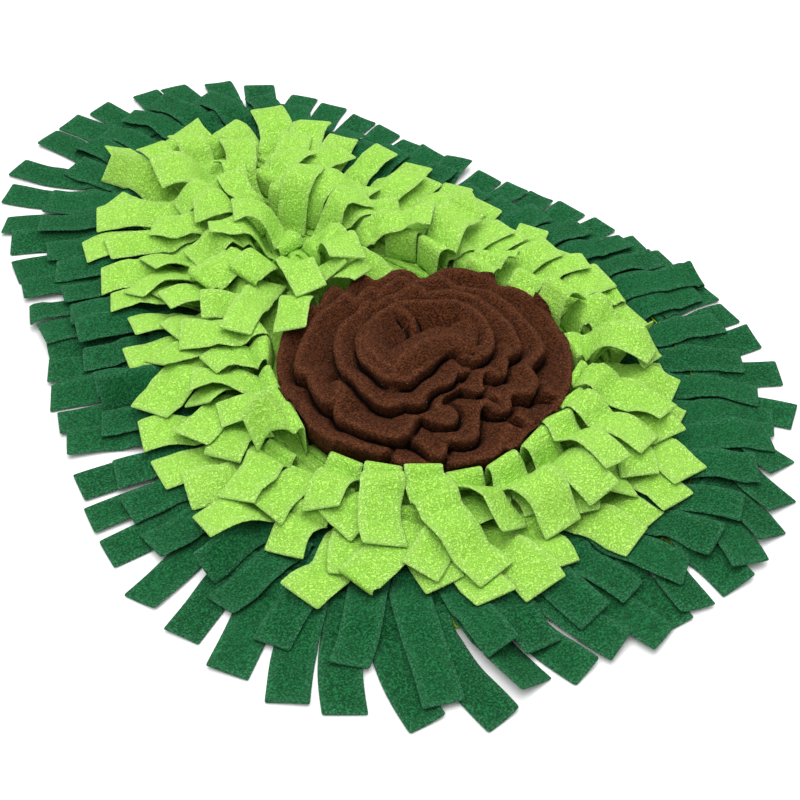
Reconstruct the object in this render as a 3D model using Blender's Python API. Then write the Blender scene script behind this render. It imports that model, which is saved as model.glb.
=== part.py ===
"""Snuffle mat in the shape of a halved pear-shaped fruit: felt base, slit fleece fringes and a rosette.

Lengths are in millimetres until a mesh is written. The seams and tips are given from the rosette's and the
base's own line of symmetry, and MAT_CENTRE moves the origin to the floor under the middle of the whole mat.
+Y points along the mat to its narrow end, and +Z is up.
"""

import math
import random
from dataclasses import dataclass

import bmesh
import bpy
import numpy as np

MM = 0.001

# Cloth and gaps
CLOTH = 2.0
BASE_THICKNESS = 3.0
SEAT_GAP = 0.3
STRIP_GAP = 0.9
STRIP_WIDTH = 25.0
STRIP_PITCH = 25.5
ROOT_GAP = 1.0
WAIST_WIDTH = 22.5
BACKING_WIDTH = 6.0
BACKING_SHARE = 0.8
BACKING_LEAST_RADIUS = 1.5
BAND_SEAT = BASE_THICKNESS + SEAT_GAP

# How a strip bends
BEND_CURVATURE = 0.03
STRAIGHT_START = 0.25
LEAN_START = 22.0
FIRST_STATION = 11.0
FREE_START = 6.0
CURL_RADIUS = 6.0
CURL_LIMIT = math.radians(75.0)
TERRAIN_SHARE = 0.7
TERRAIN_LIMIT = math.radians(18.0)
TERRAIN_SAMPLES = 9
RISE_SPREAD = (0.4, 1.5)
SAMPLES_ALONG = 41
SAMPLES_ACROSS = 13
PAINT_STEP = 0.8

# The mat's outline: a wide circle and a narrow circle on the Y axis, joined by straight sides
WIDE_Y, WIDE_R = -112.0, 251.0
NARROW_Y, NARROW_R = 202.0, 160.0
BASE_INSET = 53.0
BASE_STEP = 24.0
MAT_CENTRE = (-7.555, 1.805)

# Materials: colour (linear), roughness
DARK_GREEN = (0.018, 0.170, 0.055, 1.0)
LIGHT_GREEN = (0.300, 0.780, 0.085, 1.0)
YELLOW_GREEN = (0.400, 0.600, 0.010, 1.0)
BROWN = (0.075, 0.022, 0.010, 1.0)
FLEECE_ROUGHNESS = 0.95


class SeamLine:
    """The closed line round a wide and a narrow circle on the Y axis, walked anticlockwise from its foot."""

    def __init__(self, wide_y, wide_r, narrow_y, narrow_r):
        self.wide_y, self.wide_r = wide_y, wide_r
        self.narrow_y, self.narrow_r = narrow_y, narrow_r
        reach = narrow_y - wide_y
        self.lean = math.asin((wide_r - narrow_r) / reach)
        self.wide_arc = wide_r * (math.pi / 2 + self.lean)
        self.side = reach * math.cos(self.lean)
        self.narrow_arc = narrow_r * (math.pi - 2 * self.lean)
        self.length = 2 * self.wide_arc + 2 * self.side + self.narrow_arc

    def at(self, along):
        """The point and the outward direction at a distance along the line."""
        along %= self.length
        half = self.length / 2
        mirrored = along > half
        if mirrored:
            along = self.length - along
        if along < self.wide_arc:
            turn = along / self.wide_r - math.pi / 2
            x, y = self.wide_r * math.cos(turn), self.wide_y + self.wide_r * math.sin(turn)
        elif along < self.wide_arc + self.side:
            turn = self.lean
            run = along - self.wide_arc
            x = self.wide_r * math.cos(turn) - run * math.sin(turn)
            y = self.wide_y + self.wide_r * math.sin(turn) + run * math.cos(turn)
        else:
            turn = self.lean + (along - self.wide_arc - self.side) / self.narrow_r
            x, y = self.narrow_r * math.cos(turn), self.narrow_y + self.narrow_r * math.sin(turn)
        outward = (math.cos(turn), math.sin(turn))
        if mirrored:
            return np.array((-x, y)), np.array((-outward[0], outward[1]))
        return np.array((x, y)), np.array(outward)

    def nearest(self, x, y):
        """The distance along the line of its point nearest to x, y."""
        steps = np.arange(0.0, self.length, 1.0)
        points = np.array([self.at(step)[0] for step in steps])
        return float(steps[np.argmin(np.hypot(points[:, 0] - x, points[:, 1] - y))])

    def outline(self, step):
        """Points of the line about a step apart."""
        count = round(self.length / step)
        return [self.at(self.length * k / count)[0] for k in range(count)]


def inset_line(inset):
    """The mat's outline moved inwards."""
    return SeamLine(WIDE_Y, WIDE_R - inset, NARROW_Y, NARROW_R - inset)


class Pile:
    """The height of what has been laid so far, in square cells over the plan."""

    CELL = 1.0
    HALF_X, HALF_Y = 290.0, 400.0

    def __init__(self, floor):
        columns = int(2 * self.HALF_X / self.CELL)
        rows = int(2 * self.HALF_Y / self.CELL)
        self.height = np.full((columns, rows), floor)

    def cells(self, x, y):
        """The column and row of the cell under each point."""
        column = np.floor_divide(x + self.HALF_X, self.CELL).astype(int)
        row = np.floor_divide(y + self.HALF_Y, self.CELL).astype(int)
        return column, row

    def top(self, x, y):
        """The height of the cell under each point."""
        column, row = self.cells(x, y)
        return self.height[column, row]

    def add(self, x, y, z):
        """Raises the cells under points to their heights, where those are higher."""
        column, row = self.cells(x, y)
        np.maximum.at(self.height, (column, row), z)


@dataclass
class Strip:
    """One fleece strip: where its tip shows, and how it stands out from the others."""

    tip_x: float
    tip_y: float
    rise: float = 0.0
    lift: float = 0.0
    roll: float = 0.0
    curl: float = 0.0


@dataclass
class Tier:
    """A slit band sewn along a seam line, with its strips anticlockwise from the foot."""

    name: str
    seam: SeamLine
    colour: tuple
    spans: int
    rise: float
    seed: int
    strips: tuple

    def inner_seam(self):
        """The backing band's inner edge."""
        seam = self.seam
        narrow_r = max(seam.narrow_r - BACKING_WIDTH, BACKING_LEAST_RADIUS)
        return SeamLine(seam.wide_y, seam.wide_r - BACKING_WIDTH, seam.narrow_y, narrow_r)


# Each row is a strip: tip_x, tip_y, then where it stands out: rise, lift, roll (degrees), curl (degrees)
LOWER_STRIPS = (
    (9, -354), (27, -352), (61, -352), (76, -345), (105, -334), (130, -318), (155, -292), (197, -260),
    (220, -221), (232, -182), (236, -152), (240, -125), (243, -98), (238, -76), (234, -50), (228, -15),
    (218, 15), (208, 42), (199, 63), (189, 88), (179, 118), (169, 141), (163, 162), (157, 191),
    (149, 218), (137, 249), (123, 276), (99, 316), (70, 340), (32, 353), (8, 360), (-36, 362),
    (-68, 356), (-93, 344, 12), (-132, 317), (-154, 287), (-173, 247, 12), (-178, 221), (-190, 186),
    (-194, 162), (-202, 128), (-204, 102), (-208, 82), (-215, 67), (-225, 41), (-231, 15), (-235, -8),
    (-245, -48), (-252, -79), (-255, -111), (-255, -157), (-246, -195), (-236, -234), (-217, -272),
    (-193, -297), (-157, -329), (-119, -351), (-90, -343, 0, 0, 24), (-58, -351), (-31, -349), (-5, -358),
)
UPPER_STRIPS = (
    (0, -322), (40, -326), (70, -321), (102, -309), (137, -286), (165, -268), (179, -258), (187, -233),
    (204, -199), (218, -159, 14), (228, -122), (240, -108, 6, 0, 0, 150), (229, -76), (224, -46),
    (208, -10), (189, 17), (177, 43), (165, 70), (162, 113), (140, 150), (128, 170), (123, 195),
    (104, 262), (88, 298), (46, 323), (7, 334, 8), (-22, 332, 16), (-49, 318), (-72, 310), (-93, 288),
    (-132, 254, 14), (-152, 225), (-160, 192), (-165, 165), (-173, 135), (-178, 108), (-183, 87),
    (-191, 60), (-195, 31, 12), (-199, 13, 10, 0, 50), (-208, -6), (-221, -54), (-229, -88),
    (-230, -123), (-213, -163, 10, 0, 40), (-216, -189), (-205, -232), (-174, -271), (-143, -325),
    (-94, -315, 8), (-71, -325), (-32, -325),
)
OUTER_STRIPS = (
    (25, -295), (46, -286), (70, -283), (91, -271), (122, -226), (143, -185), (155, -150, 8, 0, 60),
    (168, -123), (168, -100, 14, 0, 0, 90), (171, -40), (165, -3), (155, 44), (150, 78), (141, 122, 14),
    (126, 147), (107, 184), (102, 223), (76, 261), (33, 258), (5, 275, 20, 22), (-18, 268, 20, 18),
    (-57, 278), (-77, 252, 14, 0, 60), (-93, 215), (-139, 167), (-144, 126), (-150, 97), (-150, 62),
    (-167, 37), (-193, -38), (-199, -75), (-192, -102, 10), (-200, -139, 8), (-165, -180, 14),
    (-176, -217), (-95, -257), (-76, -284), (-46, -294), (-25, -285),
)
MIDDLE_STRIPS = (
    (8, -258), (37, -262), (60, -255), (100, -238), (134, -205), (134, -180), (140, -132, 22, 0, 0, 120),
    (170, -84), (166, -66), (158, -36), (150, -3), (146, 8), (146, 46), (134, 98, 16), (125, 105),
    (97, 166, 16), (76, 210), (28, 235), (-10, 250, 10), (-43, 243), (-116, 192), (-125, 155),
    (-110, 115), (-135, 88), (-120, 72), (-158, 8), (-132, 35), (-180, -25, 8), (-150, -40), (-170, -66),
    (-160, -92), (-173, -134), (-160, -150), (-140, -228, 10, 0, 0, 120), (-112, -193), (-140, -218),
    (-105, -243), (-72, -218), (-10, -243),
)
INNER_STRIPS = (
    (24, -262, 16), (44, -250), (80, -240), (108, -226), (132, -180), (130, -100, 20), (125, -60),
    (122, -22, 18, 0, 0, 110), (125, 30, 18, 0, 0, 140), (126, 53, 20), (70, 75, 8, 14), (83, 112, 10),
    (63, 129, 14), (68, 180, 16), (-58, 200, 12), (-83, 160, 12), (-58, 164, 20), (-90, 83, 8, 10),
    (-121, 65), (-102, 45, 8, 12), (-128, 27), (-144, -20), (-127, -13), (-145, -62), (-140, -95, 14, 0, 40),
    (-130, -168), (-112, -215), (-66, -270, 10), (-36, -248, 12, 0, 30), (-8, -262, 14),
)
CROWN_STRIPS = (
    (10, -2, 6), (58, 4, 10), (90, 28, 12), (88, 70, 12), (76, 106, 14), (50, 142, 14), (2, 194, 16),
    (-54, 144, 16), (-78, 106, 12), (-90, 66, 14), (-98, 0, 10), (-66, -22, 8),
)
RIDGE_STRIPS = (
    (-8, 14, 8), (54, 32, 10), (68, 84, 10), (44, 134, 10), (-8, 168, 10), (-56, 116, 10), (-62, 54, 8),
)
PEAK_STRIPS = ((48, 62, 8), (-34, 118, 10))


TIERS = (
    Tier("dark_fringe_lower", inset_line(62.0), DARK_GREEN, 3, 1.0, 11, LOWER_STRIPS),
    Tier("dark_fringe_upper", inset_line(92.0), DARK_GREEN, 4, 5.0, 12, UPPER_STRIPS),
    Tier("light_fringe_outer", SeamLine(-102.0, 134.0, 190.0, 42.0), LIGHT_GREEN, 4, 6.0, 13, OUTER_STRIPS),
    Tier("light_fringe_middle", SeamLine(-98.0, 118.0, 180.0, 28.0), LIGHT_GREEN, 4, 7.0, 14, MIDDLE_STRIPS),
    Tier("light_fringe_inner", SeamLine(-94.0, 102.5, 158.0, 18.0), LIGHT_GREEN, 4, 8.0, 15, INNER_STRIPS),
    Tier("light_crown_row", SeamLine(66.0, 39.0, 138.0, 10.0), LIGHT_GREEN, 4, 8.0, 16, CROWN_STRIPS),
    Tier("light_ridge_row", SeamLine(72.0, 23.0, 116.0, 8.0), LIGHT_GREEN, 4, 7.0, 17, RIDGE_STRIPS),
    Tier("light_peak_row", SeamLine(72.0, 8.0, 82.0, 7.0), LIGHT_GREEN, 4, 6.0, 18, PEAK_STRIPS),
)

# The rosette: a folded band wound in a spiral, given by the place along it in turns
ROSETTE_Y = -93.0
ROSETTE_COLUMNS = 56
ROSETTE_FOLD = 5.5
ROSETTE_TAPER = 8.5
ROSETTE_MIDDLE = (0.0, -93.5, 44.0)
ROSETTE_EDGE_HEIGHT = 12.0
ROSETTE_BED_MARGIN = 2.0
INNER_SHOULDER_DROP = 0.4
OUTER_SHOULDER_DROP = 0.8
LEAST_FOLD_RADIUS = 1.5
UNDER_ROSETTE = "light_fringe_inner"


@dataclass
class Winding:
    """The band's fold at a place along its spiral."""

    turn: float
    radius: float
    height: float
    ripple: float
    waves: float


# turn, radius, height of the fold, ripple depth at the front, waves per turn
WINDINGS = (
    Winding(0.0, 5.0, 45.0, 0.0, 3.0),
    Winding(0.5, 18.0, 47.0, 1.0, 4.0),
    Winding(1.0, 29.0, 45.0, 1.5, 5.0),
    Winding(2.0, 48.0, 43.0, 3.0, 8.0),
    Winding(3.0, 69.0, 39.0, 4.0, 10.0),
    Winding(4.0, 91.0, 33.0, 3.0, 12.0),
    Winding(4.5, 96.5, 30.0, 2.0, 13.0),
    Winding(5.0, 99.5, 26.0, 1.0, 13.0),
)
CREASE_DEPTH = 10.0
FRONT_TURN = math.radians(-65.0)


def spread_roots(wanted, length, pitch):
    """Seam places as near as can be to the wanted ones, each at least a pitch from the next."""
    places = list(wanted)
    last = len(places) - 1
    for _ in range(400):
        for k in range(len(places)):
            after = 0 if k == last else k + 1
            gap = places[after] - places[k] + (length if k == last else 0.0)
            if gap < pitch:
                places[k] -= (pitch - gap) / 2
                places[after] += (pitch - gap) / 2
    return places


def split_quad(corners, along, across):
    """The lower and the higher of the two ways to fold a quad in two triangles, at points inside it."""
    z00, z01, z10, z11 = corners
    first = np.where(
        along >= across,
        z00 + along * (z10 - z00) + across * (z11 - z10),
        z00 + across * (z01 - z00) + along * (z11 - z01),
    )
    second = np.where(
        along + across <= 1.0,
        z00 + along * (z10 - z00) + across * (z01 - z00),
        z11 + (1.0 - along) * (z01 - z11) + (1.0 - across) * (z10 - z11),
    )
    return np.minimum(first, second), np.maximum(first, second)


class StripPath:
    """The plan line of a strip from its root to its tip, with its hump, roll and curled end."""

    def __init__(self, root, facing, strip, tier_rise):
        self.root = root
        self.strip = strip
        tip = np.array((strip.tip_x, strip.tip_y), float)
        self.run = float(np.hypot(*(tip - root)))
        ahead = (tip - root) / self.run
        self.curl = min(math.radians(abs(strip.curl)), CURL_LIMIT)
        self.curl_side = -1.0 if strip.curl < 0 else 1.0
        self.end = tip - ahead * CURL_RADIUS if self.curl else tip
        lean = float(facing[0] * ahead[1] - facing[1] * ahead[0])
        self.lean = math.asin(lean)
        self.control = root + facing * max(self.run * STRAIGHT_START, LEAN_START * abs(lean))
        self.rise = strip.rise or tier_rise

    def stations(self, spans):
        """Shares along the strip, where 0 to 1 is its plain run and 1 to 2 its curled end."""
        first = min(FIRST_STATION / self.run, 0.3)
        plain = [0.0] + [first + (1 - first) * k / (spans - 1) for k in range(spans)]
        return np.array(plain + ([1.5, 2.0] if self.curl else []))

    def place(self, share):
        """Centre, tangent, half width, height over the bed and roll at shares along the strip."""
        t = np.minimum(share, 1.0)[:, None]
        centre = (1 - t) ** 2 * self.root + 2 * t * (1 - t) * self.control + t**2 * self.end
        slope = 2 * (1 - t) * (self.control - self.root) + 2 * t * (self.end - self.control)
        tangent = slope / np.linalg.norm(slope, axis=1)[:, None]
        turn = np.maximum(share - 1.0, 0.0) * self.curl
        centre = centre + tangent * (CURL_RADIUS * np.sin(turn))[:, None]
        t = t[:, 0]
        height = self.rise * 16.0 * t**2 * (1 - t) ** 2 + self.strip.lift * t**2
        height = height - self.curl_side * CURL_RADIUS * (1 - np.cos(turn))
        reach = (0.0, FIRST_STATION, 2 * FIRST_STATION)
        half = 0.5 * np.interp(t * self.run, reach, (STRIP_PITCH - ROOT_GAP, WAIST_WIDTH, STRIP_WIDTH))
        roll = math.radians(self.strip.roll) * np.clip((t - 0.1) / 0.5, 0.0, 1.0)
        return centre, tangent, half, height, roll


def rest_heights(need, share, run):
    """The lowest heights over the seat of a strip that bends no tighter than its cloth, 0 at its root."""
    span = (share[:, None] - share[None, :]) * run
    reach = np.maximum(share * run, 1.0)
    bend = np.maximum(BEND_CURVATURE, need / reach**2)
    bend[0] = BEND_CURVATURE
    start = np.where(share * run < FREE_START, 0.0, need)
    return np.max(start[None, :] - bend[None, :] * span**2, axis=1)


def lay_strip(pile, path, spans):
    """Lays a strip on the pile. Returns its bottom and top edges: arrays of stations by side by x, y, z."""
    share = path.stations(spans)
    fine = np.linspace(0.0, share[-1], SAMPLES_ALONG)
    side = np.linspace(-1.0, 1.0, SAMPLES_ACROSS)

    def spread(at):
        centre, tangent, half, height, roll = path.place(at)
        right = np.stack((tangent[:, 1], -tangent[:, 0]), axis=1)
        return centre, right, half, height, roll

    # The bed tilts the strip from side to side
    centre, right, half, height, roll = spread(fine)
    edge = right * half[:, None]
    high = pile.top(*(centre + edge).T) - pile.top(*(centre - edge).T)
    tilt = np.clip(TERRAIN_SHARE * np.arctan2(high, 2 * half), -TERRAIN_LIMIT, TERRAIN_LIMIT)
    padded = np.pad(tilt, TERRAIN_SAMPLES // 2, mode="edge")
    tilt = np.convolve(padded, np.full(TERRAIN_SAMPLES, 1 / TERRAIN_SAMPLES), mode="valid")
    tilt = tilt * np.clip(fine / 0.3, 0.0, 1.0)
    roll = roll + tilt

    # How high each point along it has to be
    flat = (half * np.cos(roll))[:, None] * side
    x = centre[:, 0:1] + right[:, 0:1] * flat
    y = centre[:, 1:2] + right[:, 1:2] * flat
    lean = (half * np.sin(roll))[:, None] * side
    need = (pile.top(x, y) + STRIP_GAP - lean).max(axis=1) - height - BAND_SEAT
    raised = rest_heights(need, fine, path.run)

    # Its sections
    centre, right, half, height, roll = spread(share)
    roll = roll + np.interp(share, fine, tilt)
    base = BAND_SEAT + height + np.interp(share, fine, raised)
    base[0] = BAND_SEAT
    flat, lean = half * np.cos(roll), half * np.sin(roll)
    left = np.column_stack((centre - right * flat[:, None], base - lean))
    rightward = np.column_stack((centre + right * flat[:, None], base + lean))
    bottom = np.stack((left, rightward), axis=1)
    clear_bed(pile, bottom)
    return bottom, bottom + CLOTH * upward(bottom)


def grid(count_along, count_across):
    """Even shares along and across a span, for every point of its grid."""
    along, across = np.meshgrid(
        np.linspace(0.0, 1.0, count_along), np.linspace(0.0, 1.0, count_across), indexing="ij"
    )
    return along.ravel(), across.ravel()


def span_counts(corners):
    """How many points along and across a span leave no cell of the pile out."""
    length = max(np.linalg.norm(corners[2] - corners[0]), np.linalg.norm(corners[3] - corners[1]))
    width = max(np.linalg.norm(corners[1] - corners[0]), np.linalg.norm(corners[3] - corners[2]))
    return 2 + int(length / PAINT_STEP), 2 + int(width / PAINT_STEP)


def spans_of(edges):
    """Each span's corners: start left, start right, end left, end right."""
    for k in range(len(edges) - 1):
        yield k, (edges[k, 0], edges[k, 1], edges[k + 1, 0], edges[k + 1, 1])


def points_in(corners, along, across):
    """Plan points inside a span."""
    a, b, c, d = (corner[:2] for corner in corners)
    start = a + across[:, None] * (b - a)
    end = c + across[:, None] * (d - c)
    return start + along[:, None] * (end - start)


def clear_bed(pile, bottom):
    """Raises sections wherever the flat stretch between two of them would dip into the bed."""
    for k, corners in spans_of(bottom):
        along, across = grid(*span_counts(corners))
        plan = points_in(corners, along, across)
        low, _ = split_quad([corner[2] for corner in corners], along, across)
        short = pile.top(plan[:, 0], plan[:, 1]) + STRIP_GAP - low
        if k == 0:
            near = FREE_START / FIRST_STATION
            later = along > near
            bottom[1, :, 2] += max(0.0, float((short / np.maximum(along, near))[later].max()))
        else:
            share = short / ((1 - along) ** 2 + along**2)
            bottom[k, :, 2] += max(0.0, float((share * (1 - along)).max()))
            bottom[k + 1, :, 2] += max(0.0, float((share * along).max()))


def upward(edges):
    """The direction out of the strip's upper face at each section."""
    middle = edges.mean(axis=1)
    ahead = np.gradient(middle, axis=0)
    across = edges[:, 1] - edges[:, 0]
    out = np.cross(across, ahead)
    out /= np.linalg.norm(out, axis=1)[:, None]
    out[0] = (0.0, 0.0, 1.0)
    return out[:, None, :]


def paint(pile, bottom, top, first_share):
    """Adds a laid strip to the pile, from a share of its first span on."""
    for k, corners in spans_of(top):
        along, across = grid(*span_counts(corners))
        if k == 0:
            keep = along >= first_share
            along, across = along[keep], across[keep]
        _, high = split_quad([corner[2] for corner in corners], along, across)
        plan = points_in(corners, along, across)
        pile.add(plan[:, 0], plan[:, 1], high)
        below = [bottom[k, 0], bottom[k, 1], bottom[k + 1, 0], bottom[k + 1, 1]]
        plan = points_in(below, along, across)
        pile.add(plan[:, 0], plan[:, 1], high)


def laying_order(leans):
    """Places in a closed row of strips, each strip that crosses a neighbour's root coming after it."""
    count = len(leans)
    waits = {k: set() for k in range(count)}
    for k in range(count):
        after = (k + 1) % count
        if leans[k] + leans[after] > 0:
            waits[k].add(after)
        else:
            waits[after].add(k)
    order = []
    while waits:
        ready = [k for k in waits if not waits[k]] or [min(waits, key=lambda k: abs(leans[k]))]
        for k in ready:
            order.append(k)
            del waits[k]
        for left in waits.values():
            left.difference_update(ready)
    return order


def lay_tier(pile, tier):
    """Lays a tier's strips on the pile. Returns the strips in order round the seam and their roots."""
    rng = random.Random(tier.seed)
    strips = [Strip(*row) for row in tier.strips]
    wanted = [(tier.seam.nearest(strip.tip_x, strip.tip_y), strip) for strip in strips]
    wanted.sort(key=lambda pair: pair[0])
    places = spread_roots([place for place, _ in wanted], tier.seam.length, STRIP_PITCH)
    paths = []
    for place, (_, strip) in zip(places, wanted):
        root, facing = tier.seam.at(place)
        paths.append(StripPath(root, facing, strip, tier.rise * rng.uniform(*RISE_SPREAD)))
    inner = tier.inner_seam()
    for share in np.arange(0.0, 1.0, PAINT_STEP / tier.seam.length):
        near, far = tier.seam.at(share * tier.seam.length)[0], inner.at(share * inner.length)[0]
        for across in np.linspace(0.0, 1.0, 9):
            pile.add(*(near + across * (far - near)), BAND_SEAT + CLOTH)
    laid = {}
    for k in laying_order([path.lean for path in paths]):
        laid[k] = lay_strip(pile, paths[k], tier.spans)
        bottom, top = laid[k]
        paint(pile, bottom, top, FREE_START / FIRST_STATION)
    for bottom, top in laid.values():
        paint(pile, bottom, top, 0.0)
    return [laid[k] for k in range(len(paths))], places


def new_material(name, colour):
    """A matt cloth of one colour."""
    material = bpy.data.materials.new(name)
    material.use_nodes = True
    shader = material.node_tree.nodes["Principled BSDF"]
    shader.inputs["Base Color"].default_value = colour
    shader.inputs["Roughness"].default_value = FLEECE_ROUGHNESS
    shader.inputs["Metallic"].default_value = 0.0
    return material


def new_object(name, mesh_builder, material, collection):
    """An object whose mesh the builder fills, in millimetres."""
    shape = bmesh.new()
    mesh_builder(shape)
    bmesh.ops.translate(shape, vec=(-MAT_CENTRE[0], -MAT_CENTRE[1], 0.0), verts=shape.verts)
    bmesh.ops.scale(shape, vec=(MM, MM, MM), verts=shape.verts)
    mesh = bpy.data.meshes.new(name)
    shape.to_mesh(mesh)
    shape.free()
    mesh.materials.append(material)
    made = bpy.data.objects.new(name, mesh)
    collection.objects.link(made)
    return made


def build_tier(shape, pile, tier):
    """The backing band, a closed ring, with each strip growing out of its outer edge."""
    strips, places = lay_tier(pile, tier)
    inner = tier.inner_seam()
    low, high = BAND_SEAT, BAND_SEAT + CLOTH

    def vert(plan, z):
        return shape.verts.new((plan[0], plan[1], z))

    rings = []
    for (bottom, top), place in zip(strips, places):
        along = inner.length * place / tier.seam.length
        reach = 0.5 * BACKING_SHARE * STRIP_PITCH * inner.length / tier.seam.length
        sections = []
        for b, t in zip(bottom, top):
            sections.append([shape.verts.new(p) for p in (b[0], b[1], t[1], t[0])])
        inside = [inner.at(along + reach)[0], inner.at(along - reach)[0]]
        back = [vert(inside[0], low), vert(inside[1], low), vert(inside[1], high), vert(inside[0], high)]
        rings.append((sections, back))
    for k, (sections, back) in enumerate(rings):
        for one, two in zip(sections, sections[1:]):
            for a in range(4):
                b = (a + 1) % 4
                shape.faces.new((one[a], two[a], two[b], one[b]))
        shape.faces.new(sections[-1])
        # Backing behind this strip: top, bottom and inner faces
        root = sections[0]
        shape.faces.new((root[3], root[2], back[2], back[3]))
        shape.faces.new((root[1], root[0], back[0], back[1]))
        shape.faces.new((back[0], back[3], back[2], back[1]))
        # Backing between this strip and the next
        later, later_back = rings[(k + 1) % len(rings)]
        near, far = sections[0], later[0]
        shape.faces.new((near[0], far[1], later_back[1], back[0]))
        shape.faces.new((far[2], near[3], back[3], later_back[2]))
        shape.faces.new((near[3], far[2], far[1], near[0]))
        shape.faces.new((back[0], later_back[1], later_back[2], back[3]))
    bmesh.ops.recalc_face_normals(shape, faces=shape.faces)


def build_base(collection):
    """The felt sheet, flat on the floor."""
    outline = inset_line(BASE_INSET).outline(BASE_STEP)
    curve = bpy.data.curves.new("base", "CURVE")
    curve.dimensions = "2D"
    curve.fill_mode = "BOTH"
    curve.extrude = BASE_THICKNESS / 2 * MM
    spline = curve.splines.new("POLY")
    spline.points.add(len(outline) - 1)
    for point, (x, y) in zip(spline.points, outline):
        point.co = ((x - MAT_CENTRE[0]) * MM, (y - MAT_CENTRE[1]) * MM, 0.0, 1.0)
    spline.use_cyclic_u = True
    curve.materials.append(new_material("yellow_green_felt", YELLOW_GREEN))
    base = bpy.data.objects.new("base", curve)
    base.location.z = BASE_THICKNESS / 2 * MM
    collection.objects.link(base)


def half_width(line, y):
    """Half the width of the shape inside a seam line, at a place along the mat."""
    steps = np.arange(0.0, line.length / 2, 1.0)
    points = np.array([line.at(step)[0] for step in steps])
    if y < points[0, 1] or y > points[-1, 1]:
        return 0.0
    return float(np.interp(y, points[:, 1], points[:, 0]))


def paint_base(pile):
    """Adds the felt sheet to the pile."""
    line = inset_line(BASE_INSET)
    for row in np.arange(WIDE_Y - WIDE_R, NARROW_Y + NARROW_R, Pile.CELL):
        half = half_width(line, row)
        if half > 0:
            x = np.arange(-half, half, Pile.CELL)
            pile.add(x, np.full_like(x, row), BASE_THICKNESS)


def spiral_fold():
    """Points along the rosette's fold: plan angle, radius and height."""
    turns = np.arange(0, 5 * ROSETTE_COLUMNS + 1) / ROSETTE_COLUMNS
    rows = [(w.turn, w.radius, w.height, w.ripple, w.waves) for w in WINDINGS]
    places, radii, heights, ripples, waves = np.array(rows).T
    angle = 2 * math.pi * turns
    front = 0.65 + 0.35 * np.cos(angle - FRONT_TURN)
    phase = np.cumsum(np.interp(turns, places, waves)) * 2 * math.pi / ROSETTE_COLUMNS
    ripple = np.interp(turns, places, ripples) * front
    radius = np.interp(turns, places, radii) + ripple * np.sin(phase)
    height = np.interp(turns, places, heights) + 0.35 * ripple * np.cos(0.5 * phase)
    return angle, radius, height


def paint_rosette(pile):
    """Adds the rosette to the pile as a low dome, so that strips beside it can lie on its edge."""
    angle, radius, _ = spiral_fold()
    dome_radii = [winding.radius for winding in WINDINGS[:-1]]
    dome_heights = [winding.height for winding in WINDINGS[:-1]]
    for k in range(len(angle) - ROSETTE_COLUMNS, len(angle)):
        for turn in np.linspace(0.0, 1.0, 12):
            way = angle[k] + turn * 2 * math.pi / ROSETTE_COLUMNS
            reach = np.arange(0.0, radius[k] + ROSETTE_FOLD / 2 + ROSETTE_BED_MARGIN, PAINT_STEP)
            top = np.interp(reach, dome_radii, dome_heights)
            pile.add(reach * math.cos(way), ROSETTE_Y + reach * math.sin(way), top + 1.0)


def build_rosette(shape):
    """A flat-bottomed disc whose top follows the wound band, as its fold's two shoulders and a crease."""
    angle, radius, height = spiral_fold()
    count, last = ROSETTE_COLUMNS, len(angle) - 1

    def ring(places, radii, heights):
        x, y = radii * np.cos(angle[places]), ROSETTE_Y + radii * np.sin(angle[places])
        return [shape.verts.new(point) for point in zip(x, y, heights)]

    every = np.arange(last + 1)
    outer = np.arange(last - count, last + 1)
    half = ROSETTE_FOLD / 2
    inner_radius = np.maximum(radius - half, LEAST_FOLD_RADIUS)
    between = np.where(
        every + count <= last,
        (radius + half + inner_radius[np.minimum(every + count, last)]) / 2,
        radius + half + 0.5,
    )
    crease_height = np.where(every + count <= last, height - CREASE_DEPTH, ROSETTE_EDGE_HEIGHT)
    inside = ring(every, inner_radius, height - INNER_SHOULDER_DROP)
    outside = ring(every, radius + half, height - OUTER_SHOULDER_DROP)
    crease = ring(every, between, crease_height)
    foot = ring(outer, radius[outer] - ROSETTE_TAPER, np.full(len(outer), BAND_SEAT))
    middle = shape.verts.new(ROSETTE_MIDDLE)
    for k in range(last):
        shape.faces.new((inside[k], outside[k], outside[k + 1], inside[k + 1]))
        shape.faces.new((outside[k], crease[k], crease[k + 1], outside[k + 1]))
        if k + count < last:
            shape.faces.new((crease[k], inside[k + count], inside[k + count + 1], crease[k + 1]))
    # The middle and the outer wall
    for k in range(count):
        shape.faces.new((middle, inside[k], inside[k + 1]))
        wall = last - count + k
        shape.faces.new((crease[wall], foot[k], foot[k + 1], crease[wall + 1]))
    # The two ends of the band
    shape.faces.new((middle, inside[count], crease[0]))
    shape.faces.new((middle, crease[0], outside[0]))
    shape.faces.new((middle, outside[0], inside[0]))
    start = last - count
    shape.faces.new((crease[start], inside[last], outside[last], crease[last], foot[-1], foot[0]))
    shape.faces.new(list(reversed(foot)))
    bmesh.ops.triangulate(shape, faces=[face for face in shape.faces if len(face.verts) > 4])
    bmesh.ops.recalc_face_normals(shape, faces=shape.faces)


def clear_scene():
    for item in list(bpy.data.objects):
        bpy.data.objects.remove(item, do_unlink=True)


def main():
    clear_scene()
    collection = bpy.data.collections.new("snuffle_mat")
    bpy.context.scene.collection.children.link(collection)
    build_base(collection)
    pile = Pile(-STRIP_GAP)
    paint_base(pile)
    for tier in TIERS:
        material = new_material(f"{tier.name}_fleece", tier.colour)
        new_object(tier.name, lambda shape, tier=tier: build_tier(shape, pile, tier), material, collection)
        if tier.name == UNDER_ROSETTE:
            paint_rosette(pile)
    new_object("brown_rosette", build_rosette, new_material("brown_fleece", BROWN), collection)


main()
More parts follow.
